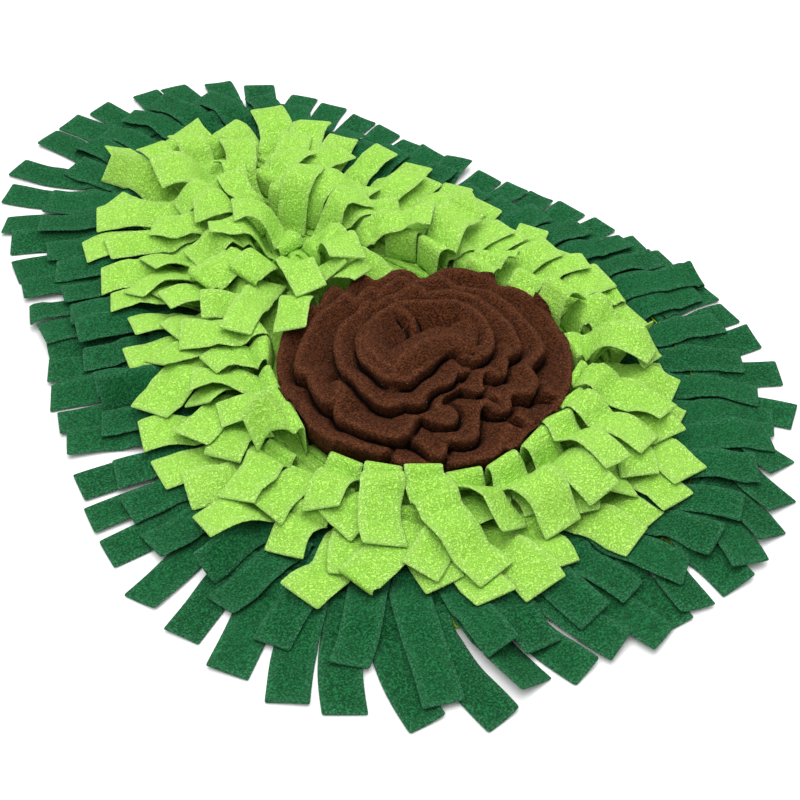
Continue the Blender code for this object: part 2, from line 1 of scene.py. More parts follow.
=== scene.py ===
"""Looks of the snuffle mat: slit fleece fringes laid strip by strip, a wound rosette and a felt base.

Lengths are in millimetres until a mesh is written. Seams and tips are given from the line of symmetry of
the base, and MAT_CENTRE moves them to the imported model's own origin, on the floor under the middle of the
whole mat. +Y points along the mat to its narrow end, and +Z is up.
"""

import logging
import math
import random
from dataclasses import dataclass, field
from enum import Enum
from typing import Sequence

import bpy
import numpy as np
from mathutils import Matrix, Vector, noise
from mathutils.kdtree import KDTree


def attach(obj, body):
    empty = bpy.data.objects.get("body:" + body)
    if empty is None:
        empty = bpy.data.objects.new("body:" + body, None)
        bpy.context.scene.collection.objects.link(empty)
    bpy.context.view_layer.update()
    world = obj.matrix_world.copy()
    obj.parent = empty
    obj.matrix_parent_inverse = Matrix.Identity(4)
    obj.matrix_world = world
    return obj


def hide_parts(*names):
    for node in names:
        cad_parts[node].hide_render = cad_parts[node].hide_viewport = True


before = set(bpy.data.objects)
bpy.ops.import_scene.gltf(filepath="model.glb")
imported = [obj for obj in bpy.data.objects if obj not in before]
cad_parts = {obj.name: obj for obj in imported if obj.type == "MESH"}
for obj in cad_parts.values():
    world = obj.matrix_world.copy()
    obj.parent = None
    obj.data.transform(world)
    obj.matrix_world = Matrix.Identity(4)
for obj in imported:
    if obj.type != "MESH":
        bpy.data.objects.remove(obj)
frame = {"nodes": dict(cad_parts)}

log = logging.getLogger("snuffle_mat")

Array = np.ndarray
MM = 0.001
MAT_CENTRE = np.array((-7.555, 1.805, 0.0))
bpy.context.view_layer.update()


class Cloth(Enum):
    """The cloths of the mat, by their material slot."""

    FELT = "yellow_green_felt"
    DARK_FLEECE = "dark_green_fleece"
    LIGHT_FLEECE = "light_green_fleece"
    BROWN_FLEECE = "brown_fleece"


class Direction(Enum):
    """Which way a strip's end curls."""

    UNDER = 1.0
    OVER = -1.0


class Side(Enum):
    """The side of a fold's hem, along its points, on which it falls steeply."""

    LEFT = 1.0
    RIGHT = -1.0
    BOTH = 0.0


@dataclass(frozen=True)
class Sewing:
    """Sizes of the cloth, the gaps and the bands that every fringe shares."""

    cloth: float = 1.8
    base_thickness: float = 3.0
    seat_gap: float = 0.3
    strip_gap: float = 0.5
    strip_width: float = 25.0
    strip_pitch: float = 25.5
    waist_width: float = 24.6
    waist_at: float = 11.0
    backing_width: float = 6.0
    free_start: float = 6.0
    bend: float = 0.07
    straight_start: float = 0.25
    lean_start: float = 22.0
    curl_radius: float = 6.5

    @property
    def seat(self) -> float:
        """Height at which a backing band lies on the base."""
        return self.base_thickness + self.seat_gap


SEWING = Sewing()


@dataclass(frozen=True)
class Eye:
    """Where the mat is looked at from, for the camera and for places that were noted in the picture."""

    place: tuple[float, float, float] = (-449.7, -742.0, 737.5)
    forward: tuple[float, float, float] = (0.4004, 0.6049, -0.6883)
    right: tuple[float, float, float] = (0.8339, -0.5519, 0.0)
    lens: float = 68.67
    sensor: float = 36.0
    frame: float = 800.0

    def axes(self) -> tuple[Vector, Vector, Vector]:
        """The directions to its right, up and ahead."""
        ahead, right = Vector(self.forward).normalized(), Vector(self.right).normalized()
        return right, right.cross(ahead), ahead

    def spot(self, across: float, down: float, level: float) -> Array:
        """Finds the point seen at a place in the picture.

        Args:
            across: Place from the left edge, in px.
            down: Place from the upper edge, in px.
            level: Height of the point, in mm.

        Returns:
            Its x, y and z.
        """
        right, up, ahead = self.axes()
        zoom = self.frame * self.lens / self.sensor
        ray = ahead + right * ((across - self.frame / 2) / zoom) + up * ((self.frame / 2 - down) / zoom)
        place = Vector(self.place)
        return np.array(place + ray * ((level - place.z) / ray.z))


EYE = Eye()


def smooth_step(value: Array, low: float, high: float) -> Array:
    """0 up to low, 1 from high on, and a soft slope between them."""
    share = np.clip((value - low) / (high - low), 0.0, 1.0)
    return share * share * (3.0 - 2.0 * share)


# Seams and the pile


class SeamLine:
    """The closed line round a wide and a narrow circle on the Y axis, anticlockwise from its foot."""

    STEP = 1.0
    LEAST_RADIUS = 1.5

    def __init__(self, wide_y: float, wide_r: float, narrow_y: float, narrow_r: float) -> None:
        """Works out the line's stretches.

        Args:
            wide_y: Place of the wide circle's centre along the mat.
            wide_r: Radius of the wide circle.
            narrow_y: Place of the narrow circle's centre along the mat.
            narrow_r: Radius of the narrow circle.
        """
        self.wide_y, self.wide_r = wide_y, wide_r
        self.narrow_y, self.narrow_r = narrow_y, narrow_r
        reach = narrow_y - wide_y
        self.lean = math.asin((wide_r - narrow_r) / reach)
        self.wide_arc = wide_r * (math.pi / 2 + self.lean)
        self.side = reach * math.cos(self.lean)
        self.narrow_arc = narrow_r * (math.pi - 2 * self.lean)
        self.length = 2 * self.wide_arc + 2 * self.side + self.narrow_arc

    def at(self, along: float) -> tuple[Array, Array]:
        """Walks along the line.

        Args:
            along: Distance from the foot.

        Returns:
            The point there and the outward direction.
        """
        along %= self.length
        mirrored = along > self.length / 2
        if mirrored:
            along = self.length - along
        if along < self.wide_arc:
            turn = along / self.wide_r - math.pi / 2
            x = self.wide_r * math.cos(turn)
            y = self.wide_y + self.wide_r * math.sin(turn)
        elif along < self.wide_arc + self.side:
            turn = self.lean
            run = along - self.wide_arc
            x = self.wide_r * math.cos(turn) - run * math.sin(turn)
            y = self.wide_y + self.wide_r * math.sin(turn) + run * math.cos(turn)
        else:
            turn = self.lean + (along - self.wide_arc - self.side) / self.narrow_r
            x = self.narrow_r * math.cos(turn)
            y = self.narrow_y + self.narrow_r * math.sin(turn)
        side = -1.0 if mirrored else 1.0
        return np.array((side * x, y)), np.array((side * math.cos(turn), math.sin(turn)))

    def points(self, step: float) -> Array:
        """Points of the line about a step apart, anticlockwise from the foot.

        Args:
            step: Distance between points.

        Returns:
            One row of x, y for each point.
        """
        count = round(self.length / step)
        return np.array([self.at(self.length * k / count)[0] for k in range(count)])

    def nearest(self, x: float, y: float) -> float:
        """Finds the distance along the line of its point nearest to x, y.

        Args:
            x: Plan place across the mat.
            y: Plan place along the mat.

        Returns:
            The distance from the foot.
        """
        steps = np.arange(0.0, self.length, self.STEP)
        points = np.array([self.at(step)[0] for step in steps])
        return float(steps[np.argmin(np.hypot(points[:, 0] - x, points[:, 1] - y))])

    def moved_in(self, width: float) -> "SeamLine":
        """The line a width further in."""
        narrow_r = max(self.narrow_r - width, self.LEAST_RADIUS)
        return SeamLine(self.wide_y, self.wide_r - width, self.narrow_y, narrow_r)

    def half_widths(self, rows: Array) -> Array:
        """Half the width of the shape inside the line at places along the mat, or 0 outside it."""
        right = np.array([self.at(step)[0] for step in np.arange(0.0, self.length / 2, self.STEP)])
        inside = (rows >= right[0, 1]) & (rows <= right[-1, 1])
        return np.where(inside, np.interp(rows, right[:, 1], right[:, 0]), 0.0)


WHOLE_MAT = SeamLine(-112.0, 251.0, 202.0, 160.0)


class Pile:
    """The height of what has been laid so far, in square cells over the plan."""

    CELL = 1.0
    HALF_X, HALF_Y = 290.0, 400.0
    PAINT_STEP = 0.8
    BAND_POINTS = 9

    def __init__(self, floor: float) -> None:
        """Starts the pile as a bare floor.

        Args:
            floor: Height of the floor.
        """
        columns = int(2 * self.HALF_X / self.CELL)
        rows = int(2 * self.HALF_Y / self.CELL)
        self.height = np.full((columns, rows), floor)

    def cells(self, x: Array, y: Array) -> tuple[Array, Array]:
        """Column and row of each point."""
        column = np.floor_divide(x + self.HALF_X, self.CELL).astype(int)
        row = np.floor_divide(y + self.HALF_Y, self.CELL).astype(int)
        return column, row

    def top(self, x: Array, y: Array) -> Array:
        """Height of the cell under each point."""
        column, row = self.cells(x, y)
        return self.height[column, row]

    def add(self, x: Array, y: Array, z: Array) -> None:
        """Raises the cells under points to at least their heights."""
        column, row = self.cells(x, y)
        np.maximum.at(self.height, (column, row), z)

    def add_shape(self, line: SeamLine, z: float) -> None:
        """Adds the flat shape inside a seam line.

        Args:
            line: Outline of the shape.
            z: Height of its upper face.
        """
        rows = np.arange(line.wide_y - line.wide_r, line.narrow_y + line.narrow_r, self.CELL)
        for row, half in zip(rows, line.half_widths(rows)):
            x = np.arange(-half, half, self.CELL)
            self.add(x, np.full_like(x, row), z)

    def add_band(self, outer: SeamLine, inner: SeamLine, z: float) -> None:
        """Adds a flat band between two seam lines.

        Args:
            outer: Outer edge.
            inner: Inner edge.
            z: Height of its upper face.
        """
        for share in np.arange(0.0, 1.0, self.PAINT_STEP / outer.length):
            near, far = outer.at(share * outer.length)[0], inner.at(share * inner.length)[0]
            for across in np.linspace(0.0, 1.0, self.BAND_POINTS):
                self.add(*(near + across * (far - near)), z)


# Meshes


def write_masks(mesh: bpy.types.Mesh, rim: Array, tone: Array) -> None:
    """Writes the pale edges, partly the pale colour of fuzzy cut fleece and partly painted highlight, and
    the tone, partly painted shade, for the nap.
    """
    for label, values in (("rim", rim), ("tone", tone)):
        layer = mesh.attributes.new(label, "FLOAT", "POINT")
        layer.data.foreach_set("value", values.astype(np.float32))


class Shell:
    """A mesh in millimetres that grows by blocks of points and quads, with a mask for its pale edges."""

    def __init__(self) -> None:
        """Starts empty."""
        self.points: list[Array] = []
        self.rims: list[Array] = []
        self.tones: list[Array] = []
        self.quads: list[Array] = []
        self.fans: list[list[int]] = []
        self.count = 0

    def add_points(self, points: Array, rim: Array, tone: float = 0.5) -> int:
        """Adds points.

        Args:
            points: One row of x, y, z for each point.
            rim: How much each point belongs to a pale edge, from 0 to 1.
            tone: Lightness of the block, from 0 to 1.

        Returns:
            The number of the first one.
        """
        first = self.count
        self.points.append(points)
        self.rims.append(rim)
        self.tones.append(np.full(len(points), tone))
        self.count += len(points)
        return first

    def add_tube(self, rings: Array, rim: Array, tone: float, closed: bool = False) -> None:
        """Adds a tube of rings that all have the same number of points, with its ends closed.

        Args:
            rings: Points by ring, place round the ring, and x, y, z.
            rim: Pale edge mask by ring and place.
            tone: Lightness of the tube.
            closed: Whether the last ring meets the first.
        """
        count, around = rings.shape[:2]
        first = self.add_points(rings.reshape(-1, 3), rim.ravel(), tone)
        number = first + np.arange(count * around).reshape(count, around)
        if closed:
            number = np.concatenate((number, number[:1]))
        later = np.roll(number, -1, axis=1)
        quads = np.stack((number[:-1], number[1:], later[1:], later[:-1]), axis=-1)
        self.quads.append(quads.reshape(-1, 4))
        if not closed:
            half = around // 2
            for ring, flip in ((number[0], False), (number[-1], True)):
                for k in range(half - 1):
                    face = [ring[k], ring[k + 1], ring[around - 2 - k], ring[around - 1 - k]]
                    self.fans.append(face[::-1] if flip else face)

    def mesh(self, name: str) -> bpy.types.Mesh:
        """Writes the mesh in metres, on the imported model's origin.

        Args:
            name: Its name.

        Returns:
            The mesh, with the attributes "rim" and "tone".
        """
        made = bpy.data.meshes.new(name)
        faces = [quad for block in self.quads for quad in block.tolist()]
        faces += [list(map(int, fan)) for fan in self.fans]
        points = (np.concatenate(self.points) - MAT_CENTRE) * MM
        made.from_pydata(points.tolist(), [], faces)
        write_masks(made, np.concatenate(self.rims), np.concatenate(self.tones))
        made.validate()
        made.shade_smooth()
        return made


def bake(item: bpy.types.Object) -> bpy.types.Mesh:
    """Turns an object with its modifiers into a plain mesh, and takes the object away.

    Args:
        item: The object.

    Returns:
        The mesh.
    """
    if item.name not in bpy.context.scene.collection.objects:
        bpy.context.scene.collection.objects.link(item)
    graph = bpy.context.evaluated_depsgraph_get()
    graph.update()
    made = bpy.data.meshes.new_from_object(item.evaluated_get(graph))
    item.modifiers.clear()
    bpy.data.objects.remove(item, do_unlink=True)
    return made


# Cloth materials


class NodeSheet:
    """Short ways to place and join nodes in one tree."""

    def __init__(self, tree: bpy.types.NodeTree) -> None:
        """Holds the tree that nodes are placed in."""
        self.tree = tree

    def place(self, kind: str, **values: object) -> bpy.types.Node:
        """Places a node.

        Args:
            kind: The node's type name.
            values: Its settings by attribute name.

        Returns:
            The node.
        """
        node = self.tree.nodes.new(kind)
        for name, value in values.items():
            setattr(node, name, value)
        return node

    def join(self, source: bpy.types.NodeSocket, target: bpy.types.NodeSocket) -> None:
        """Links an output to an input."""
        self.tree.links.new(source, target)

    def tints(self, *colours: tuple[float, float, float]) -> list[bpy.types.NodeSocket]:
        """Places plain colours (linear)."""
        nodes = [self.place("ShaderNodeRGB") for _ in colours]
        for node, colour in zip(nodes, colours):
            node.outputs[0].default_value = (*colour, 1.0)
        return [node.outputs[0] for node in nodes]

    def random(
        self, kind: str, least: object, most: object, seed: bpy.types.NodeSocket
    ) -> bpy.types.NodeSocket:
        """Draws a value between two limits for each point."""
        node = self.place("FunctionNodeRandomValue", data_type=kind)
        node.inputs["Min"].default_value = least
        node.inputs["Max"].default_value = most
        self.join(seed, node.inputs["Seed"])
        return node.outputs["Value"]

    def bead(self, segments: int, rings: int) -> bpy.types.NodeSocket:
        """Places a ball one unit across."""
        node = self.place("GeometryNodeMeshUVSphere")
        node.inputs["Segments"].default_value = segments
        node.inputs["Rings"].default_value = rings
        node.inputs["Radius"].default_value = 0.5
        return node.outputs["Mesh"]

    def stretched(
        self, length: bpy.types.NodeSocket, thickness: bpy.types.NodeSocket
    ) -> bpy.types.NodeSocket:
        """Joins a bead's length along X and its thickness into a scale."""
        node = self.place("ShaderNodeCombineXYZ")
        self.join(length, node.inputs["X"])
        self.join(thickness, node.inputs["Y"])
        self.join(thickness, node.inputs["Z"])
        return node.outputs["Vector"]

    def hand_out(
        self, instances: bpy.types.NodeSocket, finish: bpy.types.NodeSocket, target: bpy.types.NodeSocket
    ) -> None:
        """Makes instances real and gives them their finish."""
        real = self.place("GeometryNodeRealizeInstances")
        painted = self.place("GeometryNodeSetMaterial")
        self.join(instances, real.inputs["Geometry"])
        self.join(real.outputs["Geometry"], painted.inputs["Geometry"])
        self.join(finish, painted.inputs["Material"])
        self.join(painted.outputs["Geometry"], target)

    def noise(
        self, place: bpy.types.NodeSocket, scale: float, detail: float, rough: float
    ) -> bpy.types.Node:
        """Places a noise that reads coordinates.

        Args:
            place: The coordinates.
            scale: Repeats a metre.
            detail: Octaves.
            rough: How strong the finer octaves are.

        Returns:
            The noise node.
        """
        node = self.place("ShaderNodeTexNoise")
        node.inputs["Scale"].default_value = scale
        node.inputs["Detail"].default_value = detail
        node.inputs["Roughness"].default_value = rough
        self.join(place, node.inputs["Vector"])
        return node

    def ramp(self, source: bpy.types.NodeSocket, low: float, high: float) -> bpy.types.NodeSocket:
        """Stretches a value between two limits to 0 and 1, softly at both ends."""
        node = self.place("ShaderNodeMapRange", interpolation_type="SMOOTHSTEP")
        node.inputs["From Min"].default_value = low
        node.inputs["From Max"].default_value = high
        self.join(source, node.inputs["Value"])
        return node.outputs["Result"]

    def plus(
        self, one: bpy.types.NodeSocket, two: bpy.types.NodeSocket, share: float
    ) -> bpy.types.NodeSocket:
        """Adds a share of the second value to the first."""
        node = self.place("ShaderNodeMath", operation="MULTIPLY_ADD")
        self.join(two, node.inputs[0])
        node.inputs[1].default_value = share
        self.join(one, node.inputs[2])
        return node.outputs["Value"]

    def times(self, one: bpy.types.NodeSocket, two: bpy.types.NodeSocket) -> bpy.types.NodeSocket:
        """Multiplies two values."""
        node = self.place("ShaderNodeMath", operation="MULTIPLY")
        self.join(one, node.inputs[0])
        self.join(two, node.inputs[1])
        return node.outputs["Value"]

    def mix(
        self, share: bpy.types.NodeSocket, one: bpy.types.NodeSocket, two: bpy.types.NodeSocket
    ) -> bpy.types.NodeSocket:
        """Mixes two colours."""
        node = self.place("ShaderNodeMix", data_type="RGBA")
        self.join(share, node.inputs["Factor"])
        self.join(one, node.inputs[6])
        self.join(two, node.inputs[7])
        return node.outputs[2]


def empty_tree(
    name: str, kind: str, inputs: dict[str, str], outputs: dict[str, str]
) -> bpy.types.NodeTree:
    """Makes a node group that has only its sockets.

    Args:
        name: Its name.
        kind: Its type name.
        inputs: Kind of each input by its name.
        outputs: Kind of each output by its name.

    Returns:
        The group.
    """
    tree = bpy.data.node_groups.new(name, kind)
    for way, sockets in (("INPUT", inputs), ("OUTPUT", outputs)):
        for label, socket in sockets.items():
            tree.interface.new_socket(label, in_out=way, socket_type="NodeSocket" + socket)
    return tree


def brushed_nap() -> bpy.types.NodeTree:
    """Builds the brushed nap that every fleece and the felt share, once.

    Returns:
        A shader group from coordinates, colours and masks to a colour and a height.
    """
    found = bpy.data.node_groups.get("brushed_nap")
    if found:
        return found
    inputs = {"Place": "Vector"}
    inputs |= dict.fromkeys(("Grain Scale", "Clump Scale", "Contrast", "Rim", "Tone"), "Float")
    inputs |= dict.fromkeys(("Colour", "Deep Colour", "Rim Colour", "Crease Shade Colour"), "Color")
    tree = empty_tree("brushed_nap", "ShaderNodeTree", inputs, {"Colour": "Color", "Height": "Float"})
    sheet = NodeSheet(tree)
    given = sheet.place("NodeGroupInput").outputs
    result = sheet.place("NodeGroupOutput").inputs
    grain = sheet.noise(given["Place"], 1.0, 3.0, 0.62)
    clump = sheet.noise(given["Place"], 1.0, 2.0, 0.5)
    sheet.join(given["Grain Scale"], grain.inputs["Scale"])
    sheet.join(given["Clump Scale"], clump.inputs["Scale"])
    drift = sheet.noise(given["Place"], 24.0, 1.0, 0.5)
    specks = sheet.ramp(grain.outputs["Fac"], 0.38, 0.60)
    clumps = sheet.ramp(clump.outputs["Fac"], 0.32, 0.7)
    tone = sheet.plus(sheet.times(specks, given["Contrast"]), clumps, 0.35)
    tone = sheet.plus(tone, drift.outputs["Fac"], 0.15)
    # The tone mask moves the nap toward its deep colour: at random for each strip, and as painted shade in
    # the rosette's creases and on the underlays.
    tone = sheet.plus(tone, given["Tone"], 0.25)
    body = sheet.mix(sheet.ramp(tone, 0.1, 1.35), given["Deep Colour"], given["Colour"])
    # Painted shade: where the tone falls below 0, in the rosette's creases, the colour darkens toward the
    # darker colour given for creases.
    body = sheet.mix(sheet.ramp(given["Tone"], -1.0, 0.0), given["Crease Shade Colour"], body)
    # Pale edges: the rim mask mixes in the rim colour, partly the fuzzy edges' own colour and partly a
    # painted highlight.
    fuzz_and_highlight = sheet.times(given["Rim"], sheet.ramp(grain.outputs["Fac"], 0.28, 0.6))
    sheet.join(sheet.mix(fuzz_and_highlight, body, given["Rim Colour"]), result["Colour"])
    sheet.join(sheet.plus(specks, clumps, 0.8), result["Height"])
    return tree


def new_material(name: str) -> tuple[bpy.types.Material, NodeSheet, bpy.types.Node]:
    """Starts a material.

    Args:
        name: Its name.

    Returns:
        The material, a sheet for its nodes and its shader.
    """
    made = bpy.data.materials.new(name)
    made.use_nodes = True
    return made, NodeSheet(made.node_tree), made.node_tree.nodes["Principled BSDF"]


@dataclass(frozen=True)
class ClothFinish:
    """One cloth's colours (linear) and nap."""

    cloth: Cloth
    colour: tuple[float, float, float]
    deep: tuple[float, float, float]
    rim: tuple[float, float, float]
    sheen_tint: tuple[float, float, float]
    sheen: float = 0.08
    sheen_roughness: float = 0.45
    roughness: float = 0.95
    specular: float = 0.06
    grain: float = 760.0
    clump: float = 330.0
    contrast: float = 1.0
    bump: float = 0.9
    nap_depth: float = 0.0012
    painted_crease_shade: float = 0.2

    def material(self) -> bpy.types.Material:
        """Builds the cloth's material, once.

        Returns:
            The material.
        """
        name = self.cloth.value + "_nap"
        found = bpy.data.materials.get(name)
        if found:
            return found
        made, sheet, shader = new_material(name)
        shader.inputs["Roughness"].default_value = self.roughness
        shader.inputs["Specular IOR Level"].default_value = self.specular
        shader.inputs["Sheen Weight"].default_value = self.sheen
        shader.inputs["Sheen Roughness"].default_value = self.sheen_roughness
        shader.inputs["Sheen Tint"].default_value = (*self.sheen_tint, 1.0)
        nap = sheet.place("ShaderNodeGroup", node_tree=brushed_nap())
        sheet.join(sheet.place("ShaderNodeTexCoord").outputs["Object"], nap.inputs["Place"])
        for mask in ("rim", "tone"):
            layer = sheet.place("ShaderNodeAttribute", attribute_name=mask)
            sheet.join(layer.outputs["Fac"], nap.inputs[mask.title()])
        nap.inputs["Grain Scale"].default_value = self.grain
        nap.inputs["Clump Scale"].default_value = self.clump
        nap.inputs["Contrast"].default_value = self.contrast
        # Painted shade: the colour for creases is the deep colour darkened, for the rosette's creases.
        painted_crease_shade = tuple(self.painted_crease_shade * value for value in self.deep)
        colours = {"": self.colour, "Deep ": self.deep, "Rim ": self.rim, "Crease Shade ": painted_crease_shade}
        for part, colour in colours.items():
            nap.inputs[part + "Colour"].default_value = (*colour, 1.0)
        bump = sheet.place("ShaderNodeBump")
        bump.inputs["Strength"].default_value = self.bump
        bump.inputs["Distance"].default_value = self.nap_depth
        sheet.join(nap.outputs["Height"], bump.inputs["Height"])
        sheet.join(nap.outputs["Colour"], shader.inputs["Base Color"])
        sheet.join(bump.outputs["Normal"], shader.inputs["Normal"])
        return made


FINISHES = {
    finish.cloth: finish
    for finish in (
        ClothFinish(
            Cloth.DARK_FLEECE,
            colour=(0.014, 0.158, 0.047),
            deep=(0.0035, 0.052, 0.0145),
            rim=(0.040, 0.200, 0.085),
            sheen_tint=(0.35, 0.85, 0.55),
        ),
        ClothFinish(
            Cloth.LIGHT_FLEECE,
            colour=(0.470, 0.870, 0.135),
            deep=(0.300, 0.670, 0.050),
            rim=(0.500, 0.820, 0.200),
            bump=0.85,
            sheen_tint=(0.75, 1.0, 0.6),
        ),
        ClothFinish(
            Cloth.BROWN_FLEECE,
            colour=(0.105, 0.0310, 0.0102),
            deep=(0.021, 0.0055, 0.0019),
            rim=(0.150, 0.050, 0.021),
            sheen=0.04,
            sheen_tint=(0.85, 0.55, 0.42),
        ),
        ClothFinish(
            Cloth.FELT,
            colour=(0.420, 0.620, 0.012),
            deep=(0.330, 0.500, 0.006),
            rim=(0.520, 0.700, 0.060),
            grain=900.0,
            clump=260.0,
            contrast=0.5,
            bump=0.25,
            sheen=0.1,
            sheen_tint=(0.9, 1.0, 0.6),
        ),
    )
}


@dataclass(frozen=True)
class ThreadFinish:
    """Sewing thread or loose fibre in one colour (linear)."""

    name: str
    colour: tuple[float, float, float]
    shade: tuple[float, float, float]
    roughness: float = 0.6
    twist: float = 1500.0

    def material(self) -> bpy.types.Material:
        """Builds the thread's material, once.

        Returns:
            The material.
        """
        found = bpy.data.materials.get(self.name)
        if found:
            return found
        made, sheet, shader = new_material(self.name)
        shader.inputs["Roughness"].default_value = self.roughness
        place = sheet.place("ShaderNodeTexCoord").outputs["Object"]
        twist = sheet.ramp(sheet.noise(place, self.twist, 1.0, 0.5).outputs["Fac"], 0.35, 0.65)
        tints = sheet.tints(self.shade, self.colour)
        sheet.join(sheet.mix(twist, *tints), shader.inputs["Base Color"])
        return made


def dress(mesh: bpy.types.Mesh, name: str, cloth: Cloth, *nodes: str) -> bpy.types.Object:
    """Makes a finished piece of the mat.

    Args:
        mesh: Its mesh in metres.
        name: Its name.
        cloth: The slot that it takes its finish from.
        nodes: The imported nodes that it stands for, if any.

    Returns:
        The object, riding on the mat.
    """
    if not mesh.materials:
        mesh.materials.append(FINISHES[cloth].material())
    made = bpy.data.objects.new(name, mesh)
    bpy.context.scene.collection.objects.link(made)
    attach(made, "root")
    if nodes:
        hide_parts(*nodes)
    log.info("%s: %d faces", name, len(mesh.polygons))
    return made


# Fringes


@dataclass
class Strip:
    """One fleece strip: where its tip shows, and how it stands out from the others (mm and degrees)."""

    tip_x: float
    tip_y: float
    rise: float = 0.0
    lift: float = 0.0
    roll: float = 0.0
    curl: float = 0.0


@dataclass(frozen=True)
class Drape:
    """How far strips of one cloth may depart from a flat ribbon, drawn at random (mm and degrees)."""

    roll: float
    twist: float
    cup: float
    ripple: float
    tip_lift: float
    skew: float
    broad: float
    width: float
    bow: float
    sway: float


DARK_DRAPE = Drape(
    roll=5.0, twist=8.0, cup=0.8, ripple=0.7, tip_lift=1.5,
    skew=7.0, broad=1.0, width=0.07, bow=0.05, sway=1.5,
)
LIGHT_DRAPE = Drape(
    roll=10.0, twist=20.0, cup=0.5, ripple=0.8, tip_lift=4.0,
    skew=5.0, broad=1.1, width=0.12, bow=0.12, sway=3.0,
)
TOP_DRAPE = Drape(
    roll=7.0, twist=12.0, cup=0.4, ripple=0.7, tip_lift=2.0,
    skew=5.0, broad=1.04, width=0.1, bow=0.1, sway=3.0,
)


